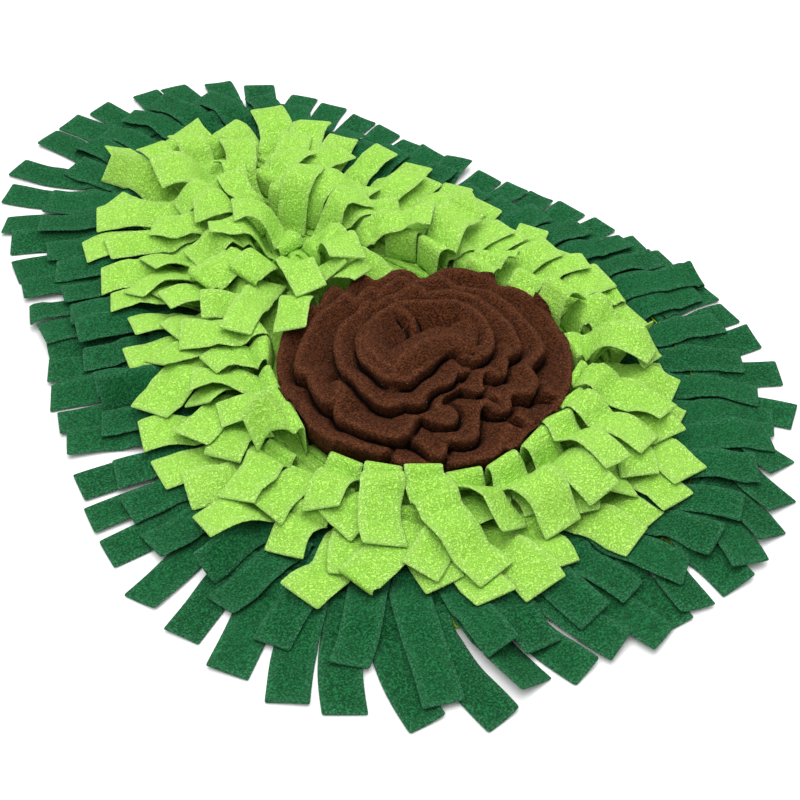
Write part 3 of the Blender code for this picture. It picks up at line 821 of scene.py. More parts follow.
class Ribbon:
    """The shape of one strip from its root on the seam to its tip."""

    SAMPLES_ALONG = 72
    SAMPLES_ACROSS = 27
    COLUMNS = np.array((-1.0, -0.9, -0.52, -0.18, 0.18, 0.52, 0.9, 1.0))
    EDGE = 0.3
    SIDE_BULGE = 0.35
    STATION = 4.6
    CURL_STATION = 2.2
    CUT_STATION = 2.4
    CUT_END = (1.0, 0.25, 0.0)
    SPRING_RUN = 4.5
    SPRING_FADE = 0.9
    SWAY_RANGE = (6.0, 30.0)
    FREE_RANGE = (8.0, 34.0)
    TIP_RANGE = (0.55, 1.0)
    SKEW_RANGE = (0.5, 1.0)
    ROLL_START, ROLL_RUN = 0.1, 0.5
    TWIST_AT = 0.4
    CUP_LEVEL = 0.33
    CORNER_DEPTH = 0.8
    ROOT_SLIT = 1.0
    END_PINCH = 0.34
    ROOT_STATIONS = (0.0, 0.5, 1.2, 2.1, 3.2, 4.6, 6.4, 8.8, 12.0)
    TERRAIN_SHARE = 0.7
    TERRAIN_LIMIT = math.radians(20.0)
    TERRAIN_SAMPLES = 15
    TERRAIN_START = 0.3
    CLEAR_ROUNDS = 4
    LEAST_DIP = 0.02
    LIFT_SPREAD = (0.3, 0.4, 0.3)
    RIM_ACROSS = (1.0, 0.55, 0.0, 0.0, 0.0, 0.0, 0.55, 1.0)
    RIM_FROM_END = (1.0, 1.0, 0.7, 0.25)

    def __init__(
        self,
        root: Array,
        facing: Array,
        strip: Strip,
        rise: float,
        spring: float,
        drape: Drape,
        rng: random.Random,
    ) -> None:
        """Works out the strip's line and draws how its cloth falls.

        Args:
            root: Plan point on the seam.
            facing: Outward direction there.
            strip: Its row.
            rise: Height of its hump where the row gives none.
            spring: Height to which it stands up beside its seam before it falls outward.
            drape: Limits of its fall.
            rng: Source of what is drawn.
        """
        tip = np.array((strip.tip_x, strip.tip_y), float)
        self.root = root
        self.run = float(np.hypot(*(tip - root)))
        ahead = (tip - root) / self.run
        self.curl = math.radians(abs(strip.curl))
        self.way = Direction.OVER if strip.curl < 0 else Direction.UNDER
        self.end = tip - ahead * SEWING.curl_radius * min(1.0, self.curl) if self.curl else tip
        self.lean = math.asin(float(facing[0] * ahead[1] - facing[1] * ahead[0]))
        start = max(self.run * SEWING.straight_start, SEWING.lean_start * abs(math.sin(self.lean)))
        beside = np.array((ahead[1], -ahead[0]))
        self.control = root + facing * start + beside * (rng.uniform(-1, 1) * drape.bow * self.run)
        self.sway = rng.uniform(-1, 1) * drape.sway
        self.length = self.run + self.curl * SEWING.curl_radius
        self.rise, self.lift, self.spring = strip.rise or rise, strip.lift, spring
        self.row_roll = math.radians(strip.roll)
        self.roll = math.radians(rng.uniform(-1, 1) * drape.roll)
        self.twist = math.radians(rng.uniform(-1, 1) * drape.twist)
        self.cup = rng.uniform(-0.5, 1) * drape.cup
        self.ripple = rng.uniform(0.3, 1) * drape.ripple
        self.wave = rng.uniform(30.0, 55.0)
        self.phase = rng.uniform(0.0, 2 * math.pi)
        self.slant = rng.uniform(-1.2, 1.2)
        self.tip_lift = max(0.0, rng.uniform(-0.6, 1)) * drape.tip_lift
        self.skew = math.tan(math.radians(rng.uniform(-1, 1) * drape.skew))
        self.width = drape.broad + rng.uniform(-1, 1) * drape.width
        self.corner = rng.uniform(0.7, 1.8)
        self.tone = rng.random()

    def distances(self, share: Array) -> Array:
        """Distances from the root at shares, where 0 to 1 is the plain run and 1 to 2 the curled end."""
        curled = np.maximum(share - 1.0, 0.0) * self.curl * SEWING.curl_radius
        return np.minimum(share, 1.0) * self.run + curled

    def shares(self, distance: Array) -> Array:
        """Shares at distances from the root."""
        curled = max(self.length - self.run, 1e-6)
        return np.minimum(distance / self.run, 1.0) + np.maximum(distance - self.run, 0.0) / curled

    def stations(self) -> Array:
        """Shares of the cross-sections, close together in a curl and at the cut end."""
        last = self.length - self.CUT_STATION
        plain = self.run if self.curl else last
        first = self.ROOT_STATIONS[-1]
        free = np.linspace(first, plain, math.ceil((plain - first) / self.STATION) + 1)[1:]
        steps = [np.array(self.ROOT_STATIONS), free]
        if self.curl:
            count = math.ceil((last - plain) / self.CURL_STATION)
            steps.append(np.linspace(plain, last, count + 1)[1:])
        steps.append(self.length - np.array(self.CUT_END))
        return self.shares(np.concatenate(steps))

    def underside(self, share: Array, side: Array, tilt: Array, raised: Array) -> Array:
        """Points of the lower face.

        Args:
            share: Places along the strip.
            side: Places across it, from -1 to 1.
            tilt: Roll that the bed gives it at each share.
            raised: Height that the bed gives it at each share.

        Returns:
            Points by share, side and x, y, z.
        """
        t = np.minimum(share, 1.0)
        line, reach = t[:, None], t * self.run
        centre = (1 - line) ** 2 * self.root + 2 * line * (1 - line) * self.control + line**2 * self.end
        slope = 2 * (1 - line) * (self.control - self.root) + 2 * line * (self.end - self.control)
        tangent = slope / np.linalg.norm(slope, axis=1)[:, None]
        right = np.stack((tangent[:, 1], -tangent[:, 0]), axis=1)
        turn = np.maximum(share - 1.0, 0.0) * self.curl
        centre = centre + tangent * (SEWING.curl_radius * np.sin(turn))[:, None]
        sway = self.sway * np.sin(2 * math.pi * t) * smooth_step(reach, *self.SWAY_RANGE)
        centre = centre + right * sway[:, None]
        height = self.rise * 16.0 * t**2 * (1 - t) ** 2 + self.lift * t**2
        start = np.sin(0.5 * math.pi * np.clip(reach / self.SPRING_RUN, 0.0, 1.0))
        height += self.spring * start * (1.0 - t) ** self.SPRING_FADE
        height += self.tip_lift * smooth_step(t, *self.TIP_RANGE)
        height -= self.way.value * SEWING.curl_radius * (1 - np.cos(turn))
        root_width = SEWING.strip_pitch - self.ROOT_SLIT
        widths = (root_width, SEWING.waist_width, SEWING.strip_width * self.width)
        half = 0.5 * np.interp(reach, (0.0, SEWING.waist_at, 2 * SEWING.waist_at), widths)
        rounding = np.clip(1.0 - (self.length - self.distances(share)) / self.corner, 0.0, 1.0)
        half -= self.corner * (1.0 - np.sqrt(1.0 - rounding**2)) * self.CORNER_DEPTH
        free = smooth_step(reach, *self.FREE_RANGE)
        roll = self.row_roll * np.clip((t - self.ROLL_START) / self.ROLL_RUN, 0.0, 1.0) + tilt
        roll = roll + free * (self.roll + self.twist * (t - self.TWIST_AT))
        swell = 2 * math.pi * reach[:, None] / self.wave + self.phase + self.slant * side
        relief = self.cup * (side**2 - self.CUP_LEVEL) + self.ripple * np.sin(swell)
        relief = free[:, None] * relief
        flat = (half * np.cos(roll))[:, None] * side
        shear = (self.skew * half * smooth_step(t, *self.SKEW_RANGE))[:, None] * side
        plan = centre[:, None, :] + right[:, None, :] * flat[..., None]
        plan = plan + tangent[:, None, :] * shear[..., None]
        z = SEWING.seat + (height + raised)[:, None] + (half * np.sin(roll))[:, None] * side + relief
        return np.concatenate((plan, z[..., None]), axis=2)

    def bed_tilt(self, pile: Pile, share: Array) -> Array:
        """How far the bed tilts the strip from side to side."""
        none = np.zeros_like(share)
        edges = self.underside(share, np.array((-1.0, 1.0)), none, none)
        high = pile.top(edges[:, 1, 0], edges[:, 1, 1]) - pile.top(edges[:, 0, 0], edges[:, 0, 1])
        tilt = self.TERRAIN_SHARE * np.arctan2(high, SEWING.strip_width)
        tilt = np.clip(tilt, -self.TERRAIN_LIMIT, self.TERRAIN_LIMIT)
        padded = np.pad(tilt, self.TERRAIN_SAMPLES // 2, mode="edge")
        tilt = np.convolve(padded, np.full(self.TERRAIN_SAMPLES, 1 / self.TERRAIN_SAMPLES), mode="valid")
        return tilt * np.clip(share / self.TERRAIN_START, 0.0, 1.0)

    @staticmethod
    def shortfall(pile: Pile, face: Array) -> Array:
        """How far each section of a face would have to rise to lie clear of the bed."""
        bed = pile.top(face[..., 0], face[..., 1])
        return (bed + SEWING.strip_gap - face[..., 2]).max(axis=1)

    def rest_heights(self, need: Array, distance: Array) -> Array:
        """The lowest heights, from 0 at the root, of a strip that bends no tighter than its cloth."""
        span = distance[:, None] - distance[None, :]
        bend = np.maximum(SEWING.bend, need / np.maximum(distance, 1.0) ** 2)
        bend[0] = SEWING.bend
        start = np.where(distance < SEWING.free_start, 0.0, need)
        return np.max(start[None, :] - bend[None, :] * span**2, axis=1)

    def lay(self, pile: Pile) -> Array:
        """Lays the strip on the pile.

        Args:
            pile: What lies there already.

        Returns:
            Its lower face, as points by station, column and x, y, z.
        """
        fine = np.linspace(0.0, 2.0 if self.curl else 1.0, self.SAMPLES_ALONG)
        tilt = self.bed_tilt(pile, fine)
        face = self.underside(fine, np.linspace(-1.0, 1.0, self.SAMPLES_ACROSS), tilt, 0.0 * fine)
        raised = self.rest_heights(self.shortfall(pile, face), self.distances(fine))
        share = self.stations()
        face = self.underside(
            share, self.COLUMNS, np.interp(share, fine, tilt), np.interp(share, fine, raised)
        )
        face[0, :, 2] = SEWING.seat
        self.clear_bed(pile, face, self.distances(share))
        return face

    def clear_bed(self, pile: Pile, face: Array, distance: Array) -> None:
        """Raises sections wherever the cloth between two of them would dip into the bed."""
        for _ in range(self.CLEAR_ROUNDS):
            dense, place = densify(face)
            short = self.shortfall(pile, dense)
            short[np.interp(place, np.arange(len(distance)), distance) < SEWING.free_start] = 0.0
            if short.max() <= self.LEAST_DIP:
                return
            lift = np.zeros(len(face))
            before = np.floor(place).astype(int)
            np.maximum.at(lift, before, short)
            np.maximum.at(lift, np.minimum(before + 1, len(face) - 1), short)
            eased = np.convolve(np.pad(lift, 1, mode="edge"), self.LIFT_SPREAD, mode="valid")
            lift = np.maximum(lift, eased)
            lift[0] = 0.0
            face[..., 2] += lift[:, None]

    def rings(self, face: Array) -> tuple[Array, Array, Array]:
        """Gives the laid strip its thickness.

        Args:
            face: Its lower face.

        Returns:
            Closed cross-sections, the pale edge mask on them, and the upper face.
        """
        ahead = np.gradient(face, axis=0)
        across = np.gradient(face, axis=1)
        out = np.cross(across, ahead)
        out /= np.linalg.norm(out, axis=2)[..., None]
        out[0] = (0.0, 0.0, 1.0)
        pinch = np.zeros(face.shape[:2])
        pinch[:, (0, -1)] = self.EDGE
        pinch[-1, :] = self.END_PINCH
        low = face + out * (SEWING.cloth * pinch)[..., None]
        high = face + out * (SEWING.cloth * (1.0 - pinch))[..., None]
        beside = (face[:, -1] - face[:, 0]) / np.linalg.norm(face[:, -1] - face[:, 0], axis=1)[:, None]
        right = face[:, -1] + out[:, -1] * SEWING.cloth / 2 + beside * self.SIDE_BULGE
        left = face[:, 0] + out[:, 0] * SEWING.cloth / 2 - beside * self.SIDE_BULGE
        rings = np.concatenate((low, right[:, None], high[:, ::-1], left[:, None]), axis=1)
        # Pale sides and cut end: partly the fuzzy edges' own colour, partly a painted highlight.
        rim = np.tile((*self.RIM_ACROSS, 1.0) * 2, (len(face), 1))
        for back, least in enumerate(self.RIM_FROM_END, start=1):
            rim[-back] = np.maximum(rim[-back], least)
        rim[0] = 0.0
        return rings, rim, face + out * SEWING.cloth


def densify(face: Array, parts: int = 6) -> tuple[Array, Array]:
    """Fills a grid of points with more points between them.

    Args:
        face: Points by station, column and x, y, z.
        parts: How many steps each gap gets.

    Returns:
        The filled grid, and the place of each of its stations in the first one.
    """
    place = np.arange((len(face) - 1) * parts + 1) / parts
    column = np.arange((face.shape[1] - 1) * parts + 1) / parts
    i = np.minimum(place.astype(int), len(face) - 2)
    j = np.minimum(column.astype(int), face.shape[1] - 2)
    a = (place - i)[:, None, None]
    b = (column - j)[None, :, None]
    near = face[i][:, j] * (1 - b) + face[i][:, j + 1] * b
    far = face[i + 1][:, j] * (1 - b) + face[i + 1][:, j + 1] * b
    return near * (1 - a) + far * a, place


@dataclass
class FringeTier:
    """A slit band sewn along a seam line, with its strips anticlockwise from the foot."""

    name: str
    node: str
    seam: SeamLine
    cloth: Cloth
    rise: float
    spring: float
    seed: int
    rows: Sequence[tuple[float, ...]]
    drape: Drape
    stitch_line: Array = field(init=False)

    DRAWN_SEED = 100
    SPREAD_ROUNDS = 400
    RISE_SPREAD = (0.4, 1.5)
    SPRING_SPREAD = (0.75, 1.2)
    BACKING_STEP = 5.0
    STITCH_LINE_STEP = 2.0

    def __post_init__(self) -> None:
        """Finds the line of stitches, along the middle of the backing band."""
        middle = self.seam.moved_in(SEWING.backing_width / 2).points(self.STITCH_LINE_STEP)
        self.stitch_line = np.column_stack((middle, np.full(len(middle), SEWING.seat + SEWING.cloth)))

    def roots(self, wanted: Sequence[float]) -> list[float]:
        """Seam places as near as can be to the wanted ones, each at least a pitch from the next."""
        places = list(wanted)
        last = len(places) - 1
        for _ in range(self.SPREAD_ROUNDS):
            for k in range(len(places)):
                after = 0 if k == last else k + 1
                gap = places[after] - places[k] + (self.seam.length if k == last else 0.0)
                if gap < SEWING.strip_pitch:
                    places[k] -= (SEWING.strip_pitch - gap) / 2
                    places[after] += (SEWING.strip_pitch - gap) / 2
        return places

    def ribbons(self) -> list[Ribbon]:
        """The tier's strips in order round the seam."""
        rises, drawn = random.Random(self.seed), random.Random(self.seed + self.DRAWN_SEED)
        strips = [Strip(*row) for row in self.rows]
        strips.sort(key=lambda strip: self.seam.nearest(strip.tip_x, strip.tip_y))
        places = self.roots([self.seam.nearest(strip.tip_x, strip.tip_y) for strip in strips])
        made = []
        for place, strip in zip(places, strips):
            root, facing = self.seam.at(place)
            rise = self.rise * rises.uniform(*self.RISE_SPREAD)
            spring = self.spring * drawn.uniform(*self.SPRING_SPREAD)
            made.append(Ribbon(root, facing, strip, rise, spring, self.drape, drawn))
        return made

    @staticmethod
    def laying_order(leans: Sequence[float]) -> list[int]:
        """Places in a closed row of strips, where one that crosses a neighbour's root comes after it."""
        count = len(leans)
        waits: dict[int, set[int]] = {k: set() for k in range(count)}
        for k in range(count):
            after = (k + 1) % count
            if leans[k] + leans[after] > 0:
                waits[k].add(after)
            else:
                waits[after].add(k)
        order: list[int] = []
        while waits:
            ready = [k for k in waits if not waits[k]] or [min(waits, key=lambda k: abs(leans[k]))]
            order += ready
            for k in ready:
                del waits[k]
            for left in waits.values():
                left.difference_update(ready)
        return order

    def paint(self, pile: Pile, ribbon: Ribbon, face: Array, upper: Array, start: float) -> None:
        """Adds a laid strip to the pile, from a distance from its root on."""
        top, place = densify(upper)
        under, _ = densify(face)
        reach = ribbon.distances(ribbon.stations())
        keep = np.interp(place, np.arange(len(reach)), reach) >= start
        pile.add(top[keep][..., 0], top[keep][..., 1], top[keep][..., 2])
        pile.add(under[keep][..., 0], under[keep][..., 1], top[keep][..., 2])

    def build(self, pile: Pile) -> bpy.types.Object:
        """Lays the tier's strips and adds its backing band.

        Args:
            pile: What lies there already, to which the tier is added.

        Returns:
            The piece.
        """
        inner = self.seam.moved_in(SEWING.backing_width)
        pile.add_band(self.seam, inner, SEWING.seat + SEWING.cloth)
        shell = Shell()
        self.add_backing(shell, inner)
        ribbons = self.ribbons()
        laid = {}
        for k in self.laying_order([ribbon.lean for ribbon in ribbons]):
            face = ribbons[k].lay(pile)
            rings, rim, upper = ribbons[k].rings(face)
            laid[k] = (rings, rim, face, upper)
            self.paint(pile, ribbons[k], face, upper, SEWING.free_start)
        for k, (rings, rim, face, upper) in laid.items():
            self.paint(pile, ribbons[k], face, upper, 0.0)
            shell.add_tube(rings, rim, ribbons[k].tone)
        return dress(shell.mesh(self.name), self.name, self.cloth, self.node)

    def add_backing(self, shell: Shell, inner: SeamLine) -> None:
        """Adds the uncut band that carries the strips."""
        count = round(self.seam.length / self.BACKING_STEP)
        low, high = SEWING.seat, SEWING.seat + SEWING.cloth
        rings = []
        for k in range(count):
            far = self.seam.at(self.seam.length * k / count)[0]
            near = inner.at(inner.length * k / count)[0]
            rings.append([(*near, low), (*far, low), (*far, high), (*near, high)])
        rings = np.array(rings)
        shell.add_tube(rings, np.zeros(rings.shape[:2]), 0.5, closed=True)


# Each row is a strip: tip_x, tip_y, then where it stands out: rise, lift, roll (degrees), curl (degrees)
DARK_LOWER_ROWS = (
    (9, -354), (27, -352), (61, -352), (76, -345), (105, -334), (130, -318), (155, -292), (197, -260),
    (220, -221), (232, -182), (236, -152), (240, -125), (243, -98), (238, -76), (234, -50), (228, -15),
    (218, 15), (208, 42), (199, 63), (189, 88), (179, 118), (169, 141), (163, 162), (157, 191),
    (149, 218), (137, 249), (123, 276), (99, 316), (70, 340), (32, 353), (8, 360), (-36, 362),
    (-68, 356), (-93, 344, 12), (-132, 317), (-154, 287), (-173, 247, 12), (-178, 221), (-190, 186),
    (-194, 162), (-202, 128), (-204, 102), (-208, 82), (-215, 67), (-225, 41), (-231, 15), (-235, -8),
    (-245, -48), (-252, -79), (-255, -111), (-255, -157), (-246, -195), (-236, -234), (-217, -272),
    (-193, -297), (-157, -329), (-119, -351), (-90, -343, 0, 0, 24), (-58, -351), (-31, -349),
    (-5, -358),
)
DARK_UPPER_ROWS = (
    (0, -322), (40, -326), (70, -321), (102, -309), (137, -286), (165, -268), (179, -258), (187, -233),
    (204, -199), (218, -159, 14), (228, -122), (240, -108, 6, 0, 0, 150), (229, -76), (224, -46),
    (208, -10), (189, 17), (177, 43), (165, 70), (162, 113), (140, 150), (128, 170), (123, 195),
    (104, 262), (88, 298), (46, 323), (7, 334, 8), (-22, 332, 16), (-49, 318), (-72, 310), (-93, 288),
    (-132, 254, 14), (-152, 225), (-160, 192), (-165, 165), (-173, 135), (-178, 108), (-183, 87),
    (-191, 60), (-195, 31, 12), (-199, 13, 10, 0, 50), (-208, -6), (-221, -54), (-229, -88),
    (-230, -123), (-213, -163, 10, 0, 40), (-216, -189), (-205, -232), (-174, -271), (-143, -325),
    (-94, -315, 8), (-71, -325), (-32, -325),
)
LIGHT_OUTER_ROWS = (
    (25, -295), (46, -286), (70, -283), (91, -271), (122, -226), (143, -185), (155, -150, 8, 0, 60),
    (168, -123), (168, -100, 14, 0, 0, 90), (171, -40), (165, -3), (155, 44), (150, 78), (141, 122, 14),
    (126, 147), (107, 184), (102, 223), (76, 261), (33, 258), (5, 275, 20, 22), (-18, 268, 20, 18),
    (-57, 278), (-77, 252, 14, 0, 60), (-93, 215), (-139, 167), (-144, 126), (-150, 97), (-150, 62),
    (-167, 37), (-193, -38), (-199, -75), (-192, -102, 10), (-200, -139, 8), (-165, -180, 14),
    (-176, -217), (-95, -257), (-76, -284), (-46, -294), (-25, -285),
)
LIGHT_MIDDLE_ROWS = (
    (8, -258), (37, -262), (60, -255), (100, -238), (134, -205), (134, -180),
    (140, -132, 22, 0, 0, 120), (170, -84), (166, -66), (158, -36), (150, -3), (146, 8), (146, 46),
    (134, 98, 16), (125, 105), (97, 166, 16), (76, 210), (28, 235), (-10, 250, 10), (-43, 243),
    (-116, 192), (-125, 155), (-110, 115), (-135, 88), (-120, 72), (-158, 8), (-132, 35),
    (-180, -25, 8), (-150, -40), (-170, -66), (-160, -92), (-173, -134), (-160, -150),
    (-140, -228, 10, 0, 0, 120), (-112, -193), (-140, -218), (-105, -243), (-72, -218), (-10, -243),
)
LIGHT_INNER_ROWS = (
    (24, -262, 16), (44, -250), (80, -240), (108, -226), (132, -180), (130, -100, 20), (125, -60),
    (122, -22, 18, 0, 0, 110), (125, 30, 18, 0, 0, 140), (126, 53, 20), (70, 75, 8, 14), (83, 112, 10),
    (63, 129, 14), (68, 180, 16), (-58, 200, 12), (-83, 160, 12), (-58, 164, 20), (-90, 83, 8, 10),
    (-121, 65), (-102, 45, 8, 12), (-128, 27), (-144, -20), (-127, -13), (-145, -62),
    (-140, -95, 14, 0, 40), (-130, -168), (-112, -215), (-66, -270, 10), (-36, -248, 12, 0, 30),
    (-8, -262, 14),
)
CROWN_ROWS = (
    (10, 2, 4), (54, 10, 8), (90, 28, 12), (88, 70, 12), (76, 106, 14), (50, 142, 14), (2, 194, 16),
    (-54, 144, 16), (-78, 106, 12), (-90, 66, 20, 0, 0, 170), (-98, 0, 10), (-66, -22, 8),
)
RIDGE_ROWS = (
    (-8, 14, 8), (36, 14, 10), (68, 84, 10), (44, 134, 10), (-8, 168, 10), (-56, 116, 10),
    (-62, 54, 10, 0, 0, 120),
)
PEAK_ROWS = ((-30, 8, 16), (6, 16, 10), (-34, 118, 10))


UNDER_ROSETTE = "inner_light_strips"


def fringe_tiers() -> list[FringeTier]:
    """The mat's fringes from the lowest to the highest."""
    dark, light = Cloth.DARK_FLEECE, Cloth.LIGHT_FLEECE
    return [
        FringeTier(
            "lower_dark_strips", "dark_fringe_lower", SeamLine(-112.0, 189.0, 202.0, 98.0),
            dark, 1.0, 0.0, 11, DARK_LOWER_ROWS, DARK_DRAPE,
        ),
        FringeTier(
            "upper_dark_strips", "dark_fringe_upper", SeamLine(-112.0, 159.0, 202.0, 68.0),
            dark, 5.0, 2.0, 12, DARK_UPPER_ROWS, DARK_DRAPE,
        ),
        FringeTier(
            "outer_light_strips", "light_fringe_outer", SeamLine(-102.0, 134.0, 190.0, 42.0),
            light, 6.0, 4.5, 13, LIGHT_OUTER_ROWS, LIGHT_DRAPE,
        ),
        FringeTier(
            "middle_light_strips", "light_fringe_middle", SeamLine(-98.0, 118.0, 180.0, 28.0),
            light, 7.0, 9.0, 14, LIGHT_MIDDLE_ROWS, LIGHT_DRAPE,
        ),
        FringeTier(
            "inner_light_strips", "light_fringe_inner", SeamLine(-94.0, 102.5, 158.0, 18.0),
            light, 8.0, 24.0, 15, LIGHT_INNER_ROWS, LIGHT_DRAPE,
        ),
        FringeTier(
            "crown_strips", "light_crown_row", SeamLine(66.0, 39.0, 138.0, 10.0),
            light, 4.0, 6.0, 16, CROWN_ROWS, TOP_DRAPE,
        ),
        FringeTier(
            "ridge_strips", "light_ridge_row", SeamLine(72.0, 23.0, 116.0, 8.0),
            light, 2.0, 3.0, 17, RIDGE_ROWS, TOP_DRAPE,
        ),
        FringeTier(
            "peak_strips", "light_peak_row", SeamLine(72.0, 8.0, 82.0, 7.0),
            light, 2.0, 8.0, 18, PEAK_ROWS, TOP_DRAPE,
        ),
    ]


# Base


@dataclass(frozen=True)
class Underlay:
    """The thin, unslit fleece under fringes of one colour, which shows between their strips as their green
    shade; its low tone paints it darker.
    """

    name: str
    node: str
    cloth: Cloth
    outer: SeamLine
    inner: SeamLine
    gap: float = 0.05

    SECTIONS = 160
    SHARES = (0.0, 0.34, 0.67, 1.0)
    # Painted shade: a low tone darkens the underlay.
    PAINTED_SHADE_TONE = 0.2

    def build(self) -> bpy.types.Object:
        """Builds the underlay.

        Returns:
            The piece.
        """
        low, high = SEWING.base_thickness + self.gap, SEWING.seat - self.gap
        rings = []
        for k in range(self.SECTIONS):
            ends = [line.at(line.length * k / self.SECTIONS)[0] for line in (self.outer, self.inner)]
            row = [ends[0] + (ends[1] - ends[0]) * share for share in self.SHARES]
            rings.append([(*point, low) for point in row[::-1]] + [(*point, high) for point in row])
        shell = Shell()
        rings = np.array(rings)
        shell.add_tube(rings, np.zeros(rings.shape[:2]), self.PAINTED_SHADE_TONE, closed=True)
        return dress(shell.mesh(self.name), self.name, self.cloth, self.node)


UNDERLAYS = (
    Underlay(
        "light_underlay", "light_fringe_outer", Cloth.LIGHT_FLEECE,
        outer=SeamLine(-103.0, 139.0, 191.0, 46.0), inner=SeamLine(-103.0, 0.4, 191.0, 0.3),
    ),
    Underlay(
        "dark_underlay", "dark_fringe_upper", Cloth.DARK_FLEECE,
        outer=SeamLine(-112.0, 182.0, 202.0, 92.0), inner=SeamLine(-103.0, 139.5, 191.0, 46.5),
    ),
)


@dataclass
class BaseSheet:
    """The felt sheet, flat on the floor, with its cut edge a little rounded."""

    inset: float = 53.0
    rounding: float = 0.8
    step: float = 4.0

    def outline(self) -> SeamLine:
        """The sheet's cut edge."""
        line = WHOLE_MAT
        return SeamLine(line.wide_y, line.wide_r - self.inset, line.narrow_y, line.narrow_r - self.inset)

    def flat_size(self) -> tuple[float, float, float]:
        """Width, length and area of the cut sheet, in metres."""
        points = self.outline().points(self.step) * MM
        x, y = points.T
        area = 0.5 * abs(float(np.sum(x * np.roll(y, -1) - y * np.roll(x, -1))))
        return float(np.ptp(x)), float(np.ptp(y)), area

    def build(self) -> bpy.types.Object:
        """Builds the sheet.

        Returns:
            The piece.
        """
        thick, soft = SEWING.base_thickness, self.rounding
        # Each ring of points: inset, height, how pale it is
        levels = (
            (soft * 2, 0.0, 0.0), (soft, 0.0, 0.4), (0.0, soft, 1.0),
            (0.0, thick - soft, 1.0), (soft, thick, 0.6), (soft * 2, thick, 0.0),
        )
        count = round(self.outline().length / self.step)
        shell = Shell()
        rings = []
        for inset, z, _ in levels:
            line = self.outline().moved_in(inset) if inset else self.outline()
            plan = np.array([line.at(line.length * k / count)[0] for k in range(count)])
            rings.append(np.column_stack((plan, np.full(count, z))))
        rim = np.array([pale for _, _, pale in levels])
        stack = np.array(rings)
        first = shell.add_points(stack.reshape(-1, 3), np.repeat(rim, count))
        number = first + np.arange(stack.shape[0] * count).reshape(stack.shape[0], count)
        later = np.roll(number, -1, axis=1)
        quads = np.stack((number[:-1], later[:-1], later[1:], number[1:]), axis=-1)
        shell.quads.append(quads.reshape(-1, 4))
        shell.fans.append(number[0][::-1].tolist())
        shell.fans.append(number[-1].tolist())
        return dress(shell.mesh("felt_base"), "felt_base", Cloth.FELT, "base")


# Rosette


@dataclass(frozen=True)
class Fold:
    """One fold of the wound band: its hem, the side on which it falls steeply, and its profile (mm)."""

    crest: Sequence[tuple[float, ...]]
    outside: Side = Side.LEFT
    skirt: float = 0.5
    half_width: float = 3.6
    crown: float = 3.0
    slope: float = 0.0


